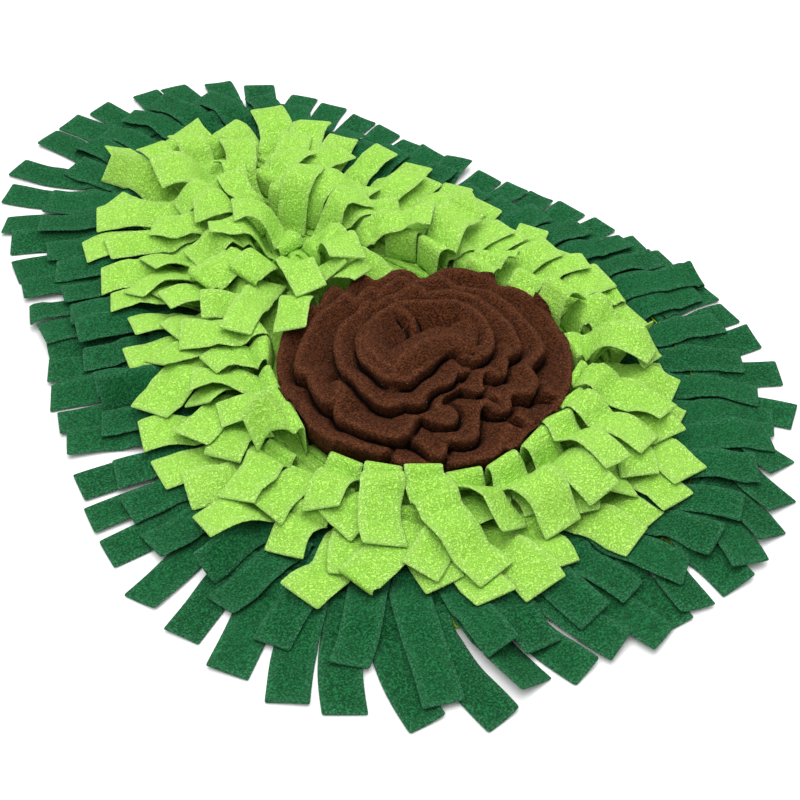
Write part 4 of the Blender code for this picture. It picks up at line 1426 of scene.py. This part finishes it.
# Hems are charted as they show to the camera: px of an 800 px frame, then z (mm) where it changes
FOLDS = (
    # Bud, and the thick lower side of the loop round it
    Fold(
        (
            (393, 369, 44), (400, 359, 46), (408, 351, 47), (421, 343, 48), (438, 336), (452, 334, 47),
            (463, 336, 45),
        ),
        Side.BOTH, half_width=14.0, crown=6.0, slope=2.6,
    ),
    Fold(
        ((367, 326, 42), (365, 338, 43), (372, 351, 44), (383, 361), (392, 367, 43)),
        Side.BOTH, half_width=11.0, crown=4.5, slope=2.6,
    ),
    Fold(
        ((454, 348, 41), (461, 346.5, 42), (470, 347), (480, 347), (487, 343, 43), (490, 333)),
        Side.BOTH, half_width=5.5, crown=3.6, slope=2.6,
    ),
    # Loop round the bud
    Fold((
        (472, 339, 43), (460, 341), (450, 347.5), (438, 356.5), (425, 366), (416, 372), (409.5, 376.5),
        (402, 378), (393, 376.5), (385, 376), (378.5, 371.5), (371.5, 365), (363, 357.5),
        (360.5, 350.5), (359.5, 343.5), (361, 332.5), (370, 321), (386, 308.5), (402, 302),
        (420, 300.8, 44), (438, 300.4, 45), (454.5, 301), (468.5, 306), (479, 314.5), (486, 324),
        (490, 331, 44), (491, 341), (490, 346.5, 43), (485.5, 351), (479, 355), (474.5, 356.5, 41),
        (469, 354.5), (462.5, 351), (459, 349),
    ), skirt=0.75),
    Fold((
        (399, 308.5, 41), (406, 311), (411, 316, 39), (412.5, 323, 37), (411, 330, 34),
    ), Side.BOTH, slope=2.2),
    Fold(((457, 323.5, 40), (463, 322), (470, 322.5), (471.5, 330), (472, 336))),
    # Second turn
    Fold((
        (475, 365, 37), (473.5, 361), (471.5, 369), (465.5, 371.5, 38), (459, 369.5), (457.5, 358, 39),
        (456.5, 364), (457, 370), (452.5, 379), (445.5, 382.5), (436.5, 385.5), (428, 390), (423, 396),
        (419.5, 401), (411.5, 401), (402, 400.5, 38), (396, 402.5), (387, 403), (377.5, 399.5),
        (369.5, 394), (362.5, 387.5, 39), (357, 380.5), (349.5, 373), (342.5, 366), (339, 357, 40),
        (337, 345), (339.5, 332), (346.5, 321), (358.5, 312.5), (365, 303.5), (370.5, 302),
        (376.5, 307, 38), (379.5, 301.5, 40), (386, 296.5), (393, 295), (396.5, 300, 38),
        (398, 294, 40), (414, 286), (421.5, 287.5), (425.5, 292.5, 38), (432, 291, 40), (452.5, 290.5),
        (466.5, 293.5), (481, 300.5), (505, 320.5), (512, 332), (518, 344.5, 39), (514, 350, 38),
        (508, 353),
    )),
    Fold((
        (495, 345.5, 38), (500, 343), (506, 345), (508.5, 348.5), (506.5, 354), (506, 362),
        (506, 374, 35),
    )),
    Fold((
        (499, 374, 36), (492, 369.5, 37), (486, 370.5), (482.5, 375), (481.5, 382), (483, 388, 36),
        (480, 390), (474.5, 389), (472, 385.5),
    )),
    # Third turn
    Fold((
        (297.5, 363, 35), (303, 343), (311.5, 325.5, 36), (319, 314), (330, 306), (341, 297.5),
        (346.5, 293), (355.5, 301, 34), (359.5, 295.5, 36), (367.5, 288), (373.5, 287.5),
        (380, 294, 34), (384.5, 287, 36), (398.5, 278), (405.5, 278), (409.5, 283.5, 34),
        (419, 280.5, 36), (437.5, 277), (446, 279), (454, 285, 34), (467, 287, 36), (482.5, 290),
        (495.5, 295.5), (508.5, 304.5), (520, 316.5), (532, 329.5), (541.5, 344.5, 35), (542, 349),
        (537, 353.5), (532, 359), (528, 364.5), (528.5, 368), (531, 372), (533.5, 377), (534.5, 382),
        (532.5, 387), (528, 390), (519, 390.5), (510, 391), (508.5, 396, 34), (498, 394.5), (490, 391),
        (483, 387), (482, 382),
    )),
    # The same turn on the near side, from the left
    Fold((
        (296.5, 362, 35), (297.5, 367), (301.5, 369.5), (309.5, 371.5, 36), (311.5, 376), (314, 384),
        (317.5, 391.5), (322.5, 397.5), (326, 399.5), (331.5, 399.5), (337, 396), (338.5, 392),
        (340.5, 387), (341.5, 382), (340, 378.5, 35), (342.5, 384), (342.5, 390.5), (340.5, 395),
        (338, 400), (337.5, 405, 34), (337.5, 410.5), (340.5, 416), (349.5, 420.5), (357, 424),
        (366, 428), (375, 430.5), (384, 433), (393, 434.5), (402, 433.5), (407, 428.5), (409.5, 424),
        (412.5, 419.5), (417, 416), (422.5, 415), (429.5, 418), (438, 421), (452, 421), (455, 416),
        (453.5, 412), (448, 410), (441, 410), (438.5, 406), (440, 400), (447, 395), (461, 388, 35),
        (473, 389),
    ), Side.RIGHT, skirt=0.4),
    # Fourth turn on the near side
    Fold((
        (282, 386, 29), (281.5, 394), (286.5, 397.5), (290.5, 398), (292, 393), (291.5, 390.5, 28),
        (293, 394), (291.5, 399.5, 30), (289, 403), (288.5, 408.5), (291.5, 415), (296, 418.5),
        (302, 419), (302.5, 414), (302.5, 408.5), (303, 403, 29), (305, 408.5), (306.5, 414),
        (308, 420.5, 30), (310.5, 427), (312, 432.5), (316, 436), (325, 438), (334, 438.5), (343, 440),
        (352.5, 442), (360, 444), (369.5, 447), (379.5, 450), (384, 448), (382, 443),
        (379.5, 437.5, 31), (374, 432),
    ), Side.RIGHT, skirt=0.4),
    Fold((
        (411, 436, 32), (420.5, 441.5, 31), (427.5, 447.5, 30), (436, 454, 29), (442, 453), (444, 446),
        (447, 440, 31), (453.5, 437.5, 32), (461, 438), (469, 437.5), (474.5, 433.5), (475, 429),
        (476.5, 422.5), (477.5, 415.5), (478, 410, 33), (482, 404.5), (485.5, 398.5), (488, 400),
        (491, 402.5), (497.5, 407.5), (502, 409.5), (506.5, 408), (508.5, 403.5, 34), (508.5, 399),
    ), Side.RIGHT, skirt=0.4),
    Fold((
        (500, 410.5, 30), (508, 411), (520, 414), (529, 420.5, 29), (536, 427, 27),
    ), Side.RIGHT, skirt=0.4),
    Fold((
        (534, 383, 31), (540, 386.5), (548, 389.5), (556, 393, 30), (563, 396, 29),
    ), Side.RIGHT, skirt=0.4),
    # Outer turn, and its ruffles back along the near side
    Fold((
        (279, 394, 27), (277, 365.5), (276, 349, 28), (278, 339.5), (297, 321.5, 29), (298, 311),
        (300.5, 305.5), (311, 305.5), (316.5, 308), (324, 300), (327.5, 292.5, 30), (333.5, 287),
        (340, 289.5), (345, 292.5, 28), (353.5, 283.5, 30), (359, 276.5), (365, 276), (374, 280, 28),
        (386.5, 276.5, 30), (397, 270.5), (407.5, 271), (419.5, 277.5, 28), (430, 276, 30),
        (446, 269.5), (462, 269.5), (483.5, 271.5), (490.5, 276), (496, 285.5, 29), (511.5, 288, 30),
        (529.5, 296), (543.5, 310), (552, 322), (562, 337), (571.5, 349.5), (572.5, 356.5),
        (572, 367.5), (570, 376.5, 29), (567.5, 382.5), (569, 390), (567.5, 402), (560, 409, 28),
        (550, 412.5), (544.5, 421), (541, 427.5, 27), (539, 432), (534.5, 434.5), (530, 433.5),
        (529, 430), (525.5, 427.5), (522.5, 430), (524, 434.5), (523.5, 440), (520, 444.5),
        (513.5, 447), (507, 445), (504, 442), (507.5, 434), (509.5, 428), (508.5, 425.5), (506.5, 430),
        (505, 436), (503, 442), (499, 447.5), (492.5, 453), (482, 456.5), (471, 459), (460, 461.5),
        (453.5, 461.5), (450, 456.5), (445.5, 453.5), (445, 449),
    )),
    Fold((
        (443.5, 454, 28), (440, 459.5, 27), (430, 461), (411, 461), (400.5, 460), (396, 457),
        (391, 453.5, 28), (386, 449), (383, 441.5), (381.5, 435),
    )),
)


@dataclass
class Rosette:
    """The folded band wound into a flat rose: a relief drawn hem by hem, leaned outward and made soft."""

    centre: tuple[float, float] = (0.0, -93.0)
    step: float = 0.7
    reach: float = 112.0
    foot: float = 94.5
    brim: float = 103.0
    widest: float = 101.0
    window: float = 26.0
    steep: float = 6.0
    far_side: float = 0.3
    lean: float = 0.5
    lean_depth: float = 24.0
    lump: float = 0.9
    least: float = 12.0
    groove_depth: float = 10.0
    groove_at: float = 5.0
    groove_width: float = 2.0
    crease_depth: float = 5.0
    crease_reach: int = 6
    crease_shade: float = 1.5
    hem_colour_and_highlight: float = 0.6
    hem_width: float = 0.8
    hem_fade: float = 3.2
    puff: float = 0.018
    least_skirt: float = 0.12
    turnover: float = 0.35
    unreached: float = -100.0
    first_level: float = 40.0
    middle: float = 20.0
    press: tuple[float, float] = (0.5, 3.5)
    bed_reach: float = 1.6
    bed_gap: float = 0.5
    bed_turns: int = 8
    pile_gap: float = 1.2
    pile_shift: float = 0.4
    least_thickness: float = 1.0
    swell: float = 15.0
    fine_swell: float = 6.0
    fine_share: float = 0.4
    swell_range: tuple[float, float] = (6.0, 14.0)
    seed: int = 11
    away: tuple[float, float] = (0.552, 0.834)
    dome: tuple[tuple[float, float], ...] = ((0, 46), (30, 44), (50, 41), (70, 36), (93, 30), (110, 24))
    floor: tuple[tuple[float, float], ...] = ((0, 22), (30, 24), (52, 23), (72, 18), (88, 12), (94.5, 6))
    x: Array = field(init=False)
    y: Array = field(init=False)
    height: Array = field(init=False)
    crests: list[Array] = field(init=False)

    def crest_line(self, fold: Fold) -> Array:
        """Walks a fold's hem through its points.

        Args:
            fold: The fold.

        Returns:
            Points under a millimetre apart, from the rosette's centre, in mm.
        """
        points = []
        z = self.first_level
        for row in fold.crest:
            z = row[2] if len(row) == 3 else z
            points.append(EYE.spot(row[0], row[1], z) - np.array((*self.centre, 0.0)))
        points = np.array(points)
        ends = np.concatenate((2 * points[:1] - points[1:2], points, 2 * points[-1:] - points[-2:-1]))
        line = []
        for a, b, c, d in zip(ends, ends[1:], ends[2:], ends[3:]):
            count = max(2, math.ceil(np.linalg.norm(c - b) / self.step))
            t = (np.arange(count) / count)[:, None]
            line.append(0.5 * (
                2 * b + (c - a) * t + (2 * a - 5 * b + 4 * c - d) * t**2 + (3 * b - a - 3 * c + d) * t**3
            ))
        line = np.concatenate(line)
        away = np.maximum(np.hypot(line[:, 0], line[:, 1]), 1.0)
        line[:, :2] *= np.minimum(1.0, self.widest / away)[:, None]
        return line

    def relief(self, fold: Fold, line: Array) -> tuple[Array, Array, Array]:
        """Works out one fold's height: a rolled hem, steep outside, with a gentle face inside.

        Args:
            fold: The fold.
            line: Its hem.

        Returns:
            The height of each cell, far down where the fold doesn't reach, how deep it presses the
            next fold, and the height of its hem beside the cell.
        """
        ahead = np.gradient(line[:, :2], axis=0)
        ahead /= np.linalg.norm(ahead, axis=1)[:, None]
        far = np.full(self.x.shape, self.window)
        left = np.zeros_like(far)
        level = np.full_like(far, self.unreached)
        span = int(self.window / self.step) + 1
        for (px, py, pz), (run_x, run_y) in zip(line, ahead):
            i = int((px + self.reach) / self.step)
            j = int((py + self.reach) / self.step)
            part = (slice(max(i - span, 0), i + span + 1), slice(max(j - span, 0), j + span + 1))
            dx, dy = self.x[part] - px, self.y[part] - py
            away = np.hypot(dx, dy)
            near = away < far[part]
            far[part][near] = away[near]
            left[part][near] = ((run_x * dy - run_y * dx) / np.maximum(away, 1e-6))[near]
            level[part][near] = pz
        past = np.maximum(far - fold.half_width, 0.0)
        inner = np.minimum(far / fold.half_width, 1.0)
        outside = fold.crown * (1.0 - np.sqrt(1.0 - inner**2)) + past * (fold.slope or self.steep)
        way = self.x * self.away[0] + self.y * self.away[1]
        way = way / np.maximum(np.hypot(self.x, self.y), self.middle)
        skirt = np.maximum(fold.skirt + self.far_side * way, self.least_skirt)
        inside = skirt * (np.sqrt(far**2 + fold.half_width**2) - fold.half_width) + self.puff * far**2
        share = 1.0
        if fold.outside is not Side.BOTH:
            share = smooth_step(left * fold.outside.value, -self.turnover, self.turnover)
        groove = self.groove_depth * share * np.exp(-(((far - self.groove_at) / self.groove_width) ** 2))
        return level - share * outside - (1.0 - share) * inside, groove, level

    def draw(self) -> None:
        """Draws every fold into the relief's height."""
        axis = np.arange(-self.reach, self.reach + self.step, self.step)
        self.x, self.y = np.meshgrid(axis, axis, indexing="ij")
        away = np.hypot(self.x, self.y)
        reach, level = np.array(self.floor).T
        self.height = np.where(away < self.foot, np.interp(away, reach, level), 0.0)
        self.crests = [self.crest_line(fold) for fold in FOLDS]
        drawn = [self.relief(fold, line) for fold, line in zip(FOLDS, self.crests)]
        for k, (level, _, _) in enumerate(drawn):
            pressed = [
                groove * smooth_step(hem - level, *self.press)
                for other, (_, groove, hem) in enumerate(drawn)
                if other != k
            ]
            self.height = np.maximum(self.height, level - np.max(pressed, axis=0))
        self.height[(self.height < self.least) & (away > self.foot)] = 0.0
        self.height[away > self.brim + self.lean * self.lean_depth] = 0.0

    def depth(self, away: Array, z: Array) -> Array:
        """How far points lie below the hems round them, as far down as the folds lean."""
        reach, level = np.array(self.dome).T
        return np.clip(np.interp(away, reach, level) - z, 0.0, self.lean_depth)

    def leaned(self, x: Array, y: Array, z: Array) -> tuple[Array, Array]:
        """Moves what lies below the hems inwards, so that each fold hangs over the next."""
        away = np.maximum(np.hypot(x, y), 1e-6)
        new = np.minimum(np.maximum(away - self.lean * self.depth(away, z), 0.0), self.brim)
        return x * new / away, y * new / away

    def bed(self, pile: Pile, x: Array, y: Array) -> Array:
        """Lowest heights that the rosette may have, over the strip roots beside its foot.

        Args:
            pile: What lies there.
            x: Places across, from the rosette's centre.
            y: Places along, from the rosette's centre.

        Returns:
            The heights.
        """
        high = np.full_like(x, SEWING.seat)
        for turn in np.linspace(0.0, 2 * math.pi, self.bed_turns + 1)[:-1]:
            over_x, over_y = x + self.bed_reach * math.cos(turn), y + self.bed_reach * math.sin(turn)
            top = pile.top(over_x + self.centre[0], over_y + self.centre[1])
            high = np.maximum(high, top + self.bed_gap)
        return np.where(np.hypot(x, y) < self.foot, SEWING.seat, high)

    def paint(self, pile: Pile) -> None:
        """Adds the rosette to the pile, so that strips laid later can lie on its edge."""
        wide = self.height.copy()
        for shift in (-1, 1):
            for axis in (0, 1):
                wide = np.maximum(wide, np.roll(self.height, shift, axis=axis))
        x, y = self.leaned(self.x, self.y, self.height)
        keep = wide > SEWING.seat + self.bed_gap
        x, y = x[keep] + self.centre[0], y[keep] + self.centre[1]
        for shift in (-self.pile_shift, self.pile_shift):
            pile.add(x + shift, y + shift, wide[keep] + self.pile_gap)

    def slab(self) -> bpy.types.Mesh:
        """The relief as a closed block, in millimetres from the rosette's centre.

        Returns:
            The mesh.
        """
        low = SEWING.seat
        solid = self.height > low + self.least_thickness
        cell = solid[:-1, :-1] | solid[1:, :-1] | solid[:-1, 1:] | solid[1:, 1:]
        top = np.maximum(self.height, low + self.least_thickness)
        x, y = self.leaned(self.x, self.y, top)
        foot_x, foot_y = self.leaned(self.x, self.y, np.full_like(top, low))
        upper = np.stack((x, y, top), axis=-1).reshape(-1, 3)
        under = np.stack((foot_x, foot_y, np.full_like(top, low)), axis=-1).reshape(-1, 3)
        rows, columns = self.height.shape
        number = np.arange(rows * columns).reshape(rows, columns)
        a, b, c, d = number[:-1, :-1], number[1:, :-1], number[1:, 1:], number[:-1, 1:]
        total = rows * columns
        faces = np.stack((a, b, c, d), axis=-1)[cell].tolist()
        closed = np.pad(cell, 1)
        inner = closed[1:-1, 1:-1]
        sides = (
            (closed[1:-1, :-2], a, b), (closed[2:, 1:-1], b, c),
            (closed[1:-1, 2:], c, d), (closed[:-2, 1:-1], d, a),
        )
        for beside, one, two in sides:
            bare = inner & ~beside
            for start, end in zip(one[bare].tolist(), two[bare].tolist()):
                faces.append([start, start + total, end + total, end])
                faces.append([end + total, start + total, 2 * total])
        points = np.concatenate((upper, under, ((0.0, 0.0, low),)))
        used = sorted({corner for face in faces for corner in face})
        place = {corner: k for k, corner in enumerate(used)}
        made = bpy.data.meshes.new("rosette_block")
        numbered = [[place[corner] for corner in face] for face in faces]
        made.from_pydata(points[used].tolist(), [], numbered)
        return made

    def build(self, pile: Pile) -> bpy.types.Object:
        """Builds the rosette and adds it to the pile.

        Args:
            pile: The strips that its edge hangs over.

        Returns:
            The piece.
        """
        item = bpy.data.objects.new("rosette_block", self.slab())
        soften = item.modifiers.new("soften", "SMOOTH")
        soften.factor, soften.iterations = 0.5, 2
        mesh = bake(item)
        points = np.empty(len(mesh.vertices) * 3)
        mesh.vertices.foreach_get("co", points)
        points = points.reshape(-1, 3)
        noise.seed_set(self.seed)
        swell = [
            noise.noise_vector(place / self.swell)
            + self.fine_share * noise.noise_vector(place / self.fine_swell)
            for place in map(Vector, points)
        ]
        free = smooth_step(points[:, 2], *self.swell_range)
        points += np.array(swell) * (self.lump * free)[:, None]
        points[:, 2] = np.maximum(points[:, 2], self.bed(pile, points[:, 0], points[:, 1]))
        self.mark(mesh, points)
        placed = (points + np.array((*self.centre, 0.0)) - MAT_CENTRE) * MM
        mesh.vertices.foreach_set("co", placed.ravel())
        mesh.update()
        mesh.shade_smooth()
        self.paint(pile)
        return dress(mesh, "rosette_band", Cloth.BROWN_FLEECE, "brown_rosette")

    def creases(self, points: Array) -> Array:
        """How deep each point lies among the creases, from 0 to 1, for the painted shade that darkens the
        nap there.

        Args:
            points: Points in mm, from the rosette's centre.

        Returns:
            One value for each point.
        """
        mean = self.height
        width = 2 * self.crease_reach + 1
        for axis in (0, 1):
            mean = np.apply_along_axis(np.convolve, axis, mean, np.full(width, 1 / width), "same")
        x, y, z = points.T
        away = np.maximum(np.hypot(x, y), 1e-6)
        back = 1.0 + self.lean * self.depth(away, z) / away
        cells = [((flat * back + self.reach) / self.step).round().astype(int) for flat in (x, y)]
        column, row = np.clip(cells, 0, len(mean) - 1)
        return np.clip((mean[column, row] - z) / self.crease_depth, 0.0, 1.0)

    def mark(self, mesh: bpy.types.Mesh, points: Array) -> None:
        """Writes the pale hems, partly the fleece's own colour and partly a painted highlight, and the
        tone, which paints shade into the creases.

        Args:
            mesh: The rosette's mesh.
            points: Its points in mm, from the rosette's centre.
        """
        hems = np.concatenate(self.crests)
        tree = KDTree(len(hems))
        for k, hem in enumerate(hems):
            tree.insert(hem, k)
        tree.balance()
        far = np.array([tree.find(point)[2] for point in points])
        # Pale hems: partly the fleece's own colour, partly a painted highlight.
        rim = self.hem_colour_and_highlight * np.clip(1.0 - (far - self.hem_width) / self.hem_fade, 0.0, 1.0)
        # Painted shade: points that lie deep among the creases get a lower tone, which darkens them.
        write_masks(mesh, rim, 0.5 - self.crease_shade * self.creases(points))


# Stitches and lint


@dataclass
class StitchRows:
    """Lines of running stitches, made by one Geometry Nodes tree."""

    pitch: float = 3.4
    stitch: float = 2.4
    thread: float = 0.32
    seed: int = 5

    def tree(self) -> bpy.types.NodeTree:
        """Builds the tree that sets stitches along edges, once."""
        found = bpy.data.node_groups.get("running_stitches")
        if found:
            return found
        inputs = {"Line": "Geometry", "Seed": "Int", "Finish": "Material"}
        inputs |= dict.fromkeys(("Pitch", "Stitch", "Thread"), "Float")
        tree = empty_tree("running_stitches", "GeometryNodeTree", inputs, {"Stitches": "Geometry"})
        sheet = NodeSheet(tree)
        given = sheet.place("NodeGroupInput").outputs
        result = sheet.place("NodeGroupOutput").inputs
        curve = sheet.place("GeometryNodeMeshToCurve")
        spaced = sheet.place("GeometryNodeResampleCurve", mode="LENGTH")
        turn = sheet.place("FunctionNodeAlignRotationToVector", axis="X")
        stitches = sheet.place("GeometryNodeInstanceOnPoints")
        long = sheet.times(given["Stitch"], sheet.random("FLOAT", 0.88, 1.0, given["Seed"]))
        thick = sheet.plus(given["Thread"], given["Thread"], 1.0)
        sheet.join(given["Line"], curve.inputs["Mesh"])
        sheet.join(curve.outputs["Curve"], spaced.inputs["Curve"])
        sheet.join(given["Pitch"], spaced.inputs["Length"])
        sheet.join(spaced.outputs["Curve"], stitches.inputs["Points"])
        sheet.join(sheet.bead(6, 4), stitches.inputs["Instance"])
        sheet.join(sheet.place("GeometryNodeInputTangent").outputs["Tangent"], turn.inputs["Vector"])
        sheet.join(turn.outputs["Rotation"], stitches.inputs["Rotation"])
        sheet.join(sheet.stretched(long, thick), stitches.inputs["Scale"])
        sheet.hand_out(stitches.outputs["Instances"], given["Finish"], result["Stitches"])
        return tree

    def build(
        self, name: str, lines: Sequence[Array], cloth: Cloth, thread: ThreadFinish
    ) -> bpy.types.Object:
        """Sews along closed lines.

        Args:
            name: The piece's name.
            lines: Points of each line, in mm.
            cloth: Slot of the piece.
            thread: Its finish.

        Returns:
            The piece.
        """
        points, edges = [], []
        for line in lines:
            first = len(points)
            points += [tuple((point - MAT_CENTRE) * MM) for point in line]
            edges += [(first + k, first + (k + 1) % len(line)) for k in range(len(line))]
        mesh = bpy.data.meshes.new(name)
        mesh.from_pydata(points, edges, [])
        item = bpy.data.objects.new(name + "_line", mesh)
        sizes = {
            "Pitch": self.pitch * MM,
            "Stitch": self.stitch * MM,
            "Thread": self.thread * MM,
            "Seed": self.seed,
            "Finish": thread.material(),
        }
        apply_tree(item, self.tree(), sizes)
        made = bake(item)
        made.shade_smooth()
        return dress(made, name, cloth)


def apply_tree(item: bpy.types.Object, tree: bpy.types.NodeTree, sizes: dict[str, object]) -> None:
    """Puts a Geometry Nodes modifier on an object and sets its named inputs."""
    modifier = item.modifiers.new(tree.name, "NODES")
    modifier.node_group = tree
    for socket in tree.interface.items_tree:
        if socket.item_type == "SOCKET" and socket.name in sizes:
            modifier[socket.identifier] = sizes[socket.name]


@dataclass
class Lint:
    """Short pale fibres caught in the nap, scattered by one Geometry Nodes tree."""

    density: float = 3000.0
    length: float = 1.5
    thickness: float = 0.28
    seed: int = 9

    def tree(self) -> bpy.types.NodeTree:
        """Builds the tree that scatters fibres over faces, once."""
        found = bpy.data.node_groups.get("scattered_lint")
        if found:
            return found
        inputs = {"Cloth": "Geometry", "Seed": "Int", "Finish": "Material"}
        inputs |= dict.fromkeys(("Density", "Length", "Thickness"), "Float")
        tree = empty_tree("scattered_lint", "GeometryNodeTree", inputs, {"Lint": "Geometry"})
        sheet = NodeSheet(tree)
        given = sheet.place("NodeGroupInput").outputs
        result = sheet.place("NodeGroupOutput").inputs
        spots = sheet.place("GeometryNodeDistributePointsOnFaces")
        turn = sheet.place("FunctionNodeRotateRotation", rotation_space="LOCAL")
        fibres = sheet.place("GeometryNodeInstanceOnPoints")
        spin = sheet.random("FLOAT_VECTOR", (-0.4, -0.4, 0.0), (0.4, 0.4, 6.28), given["Seed"])
        long = sheet.times(given["Length"], sheet.random("FLOAT", 0.4, 1.0, given["Seed"]))
        sheet.join(given["Cloth"], spots.inputs["Mesh"])
        for setting in ("Density", "Seed"):
            sheet.join(given[setting], spots.inputs[setting])
        sheet.join(spots.outputs["Points"], fibres.inputs["Points"])
        sheet.join(sheet.bead(4, 4), fibres.inputs["Instance"])
        sheet.join(spots.outputs["Rotation"], turn.inputs["Rotation"])
        sheet.join(spin, turn.inputs["Rotate By"])
        sheet.join(turn.outputs["Rotation"], fibres.inputs["Rotation"])
        sheet.join(sheet.stretched(long, given["Thickness"]), fibres.inputs["Scale"])
        sheet.hand_out(fibres.outputs["Instances"], given["Finish"], result["Lint"])
        return tree

    def build(self, carrier: bpy.types.Object, thread: ThreadFinish) -> bpy.types.Object:
        """Scatters fibres over a finished piece.

        Args:
            carrier: The piece that they lie on.
            thread: Their finish.

        Returns:
            The piece.
        """
        item = bpy.data.objects.new("lint_spots", carrier.data.copy())
        sizes = {
            "Density": self.density,
            "Length": self.length * MM,
            "Thickness": self.thickness * MM,
            "Seed": self.seed,
            "Finish": thread.material(),
        }
        apply_tree(item, self.tree(), sizes)
        return dress(bake(item), "rosette_lint", Cloth.BROWN_FLEECE)


THREADS = {
    Cloth.DARK_FLEECE: ThreadFinish("dark_green_thread", (0.02, 0.16, 0.06), (0.01, 0.09, 0.03)),
    Cloth.LIGHT_FLEECE: ThreadFinish("light_green_thread", (0.30, 0.72, 0.10), (0.18, 0.5, 0.05)),
    Cloth.FELT: ThreadFinish("yellow_green_thread", (0.22, 0.38, 0.02), (0.14, 0.26, 0.01)),
    Cloth.BROWN_FLEECE: ThreadFinish("pale_lint", (0.42, 0.36, 0.30), (0.28, 0.20, 0.15)),
}


# Studio


@dataclass
class Studio:
    """Pale floor, soft light and the camera of the photograph."""

    sky: float = 0.62
    floor_reach: float = 4.0
    floor_drop: float = 0.0004
    floor_roughness: float = 0.9

    def build(self) -> None:
        """Sets up the floor, the lights, the world and the camera."""
        self.floor()
        self.light("key", (-500.0, -300.0, 1900.0), 1700.0, 29.0)
        self.light("fill", (700.0, 500.0, 1700.0), 1600.0, 19.0)
        world = bpy.data.worlds.new("studio")
        world.use_nodes = True
        back = world.node_tree.nodes["Background"]
        back.inputs["Color"].default_value = (1.0, 1.0, 1.0, 1.0)
        back.inputs["Strength"].default_value = self.sky
        bpy.context.scene.world = world
        bpy.context.scene.view_settings.view_transform = "Standard"
        self.camera()

    def floor(self) -> None:
        """Lays the floor just under the mat."""
        mesh = bpy.data.meshes.new("floor")
        signs = ((-1, -1), (1, -1), (1, 1), (-1, 1))
        corners = [(self.floor_reach * x, self.floor_reach * y, -self.floor_drop) for x, y in signs]
        mesh.from_pydata(corners, [], [(0, 1, 2, 3)])
        pale, sheet, shader = new_material("pale_floor")
        shader.inputs["Roughness"].default_value = self.floor_roughness
        place = sheet.place("ShaderNodeTexCoord").outputs["Object"]
        share = sheet.noise(place, 3.0, 1.0, 0.5).outputs["Fac"]
        tints = sheet.tints((0.93, 0.93, 0.93), (0.95, 0.95, 0.95))
        sheet.join(sheet.mix(share, *tints), shader.inputs["Base Color"])
        mesh.materials.append(pale)
        made = bpy.data.objects.new("floor", mesh)
        bpy.context.scene.collection.objects.link(made)

    def light(self, name: str, place: tuple[float, float, float], size: float, power: float) -> None:
        """Hangs a soft square lamp that faces the mat.

        Args:
            name: Its name.
            place: Where it hangs, in mm.
            size: Length of its sides, in mm.
            power: Its power in watts.
        """
        lamp = bpy.data.lights.new(name, "AREA")
        lamp.shape, lamp.size, lamp.energy = "SQUARE", size * MM, power
        made = bpy.data.objects.new(name, lamp)
        made.location = Vector(place) * MM
        made.rotation_euler = (-made.location).to_track_quat("-Z", "Y").to_euler()
        bpy.context.scene.collection.objects.link(made)

    def camera(self) -> None:
        """Sets the camera at the photograph's place."""
        lens = bpy.data.cameras.new("camera")
        lens.lens, lens.sensor_width = EYE.lens, EYE.sensor
        lens.clip_start, lens.clip_end = 0.05, 20.0
        made = bpy.data.objects.new("camera", lens)
        right, up, ahead = EYE.axes()
        turn = Matrix((right, up, -ahead)).transposed().to_4x4()
        made.matrix_world = Matrix.Translation((Vector(EYE.place) - Vector(MAT_CENTRE)) * MM) @ turn
        bpy.context.scene.collection.objects.link(made)
        bpy.context.scene.camera = made


def main() -> None:
    """Builds the mat's pieces from the floor up and works out the flat size of the felt sheet."""
    logging.basicConfig(level=logging.INFO, format="%(message)s")
    Studio().build()
    sheet = BaseSheet()
    base = sheet.build()
    pile = Pile(-SEWING.strip_gap)
    pile.add_shape(sheet.outline(), SEWING.base_thickness)
    tiers = fringe_tiers()
    under_rosette = [tier.name for tier in tiers].index(UNDER_ROSETTE) + 1
    pieces = [tier.build(pile) for tier in tiers[:under_rosette]]
    rosette = Rosette()
    rosette.draw()
    rose = rosette.build(pile)
    pieces += [underlay.build() for underlay in UNDERLAYS]
    pieces += [tier.build(pile) for tier in tiers[under_rosette:]]
    pieces += [rose, Lint().build(rose, THREADS[Cloth.BROWN_FLEECE])]
    sewing = StitchRows()
    for cloth in (Cloth.DARK_FLEECE, Cloth.LIGHT_FLEECE):
        lines = [tier.stitch_line for tier in tiers if tier.cloth is cloth]
        pieces.append(sewing.build(cloth.value + "_stitches", lines, cloth, THREADS[cloth]))
    under = [tier.stitch_line * np.array((1.0, 1.0, 0.0)) for tier in tiers]
    pieces.append(sewing.build("underside_stitches", under, Cloth.FELT, THREADS[Cloth.FELT]))
    width, length, area = sheet.flat_size()


if __name__ == "__main__":
    main()
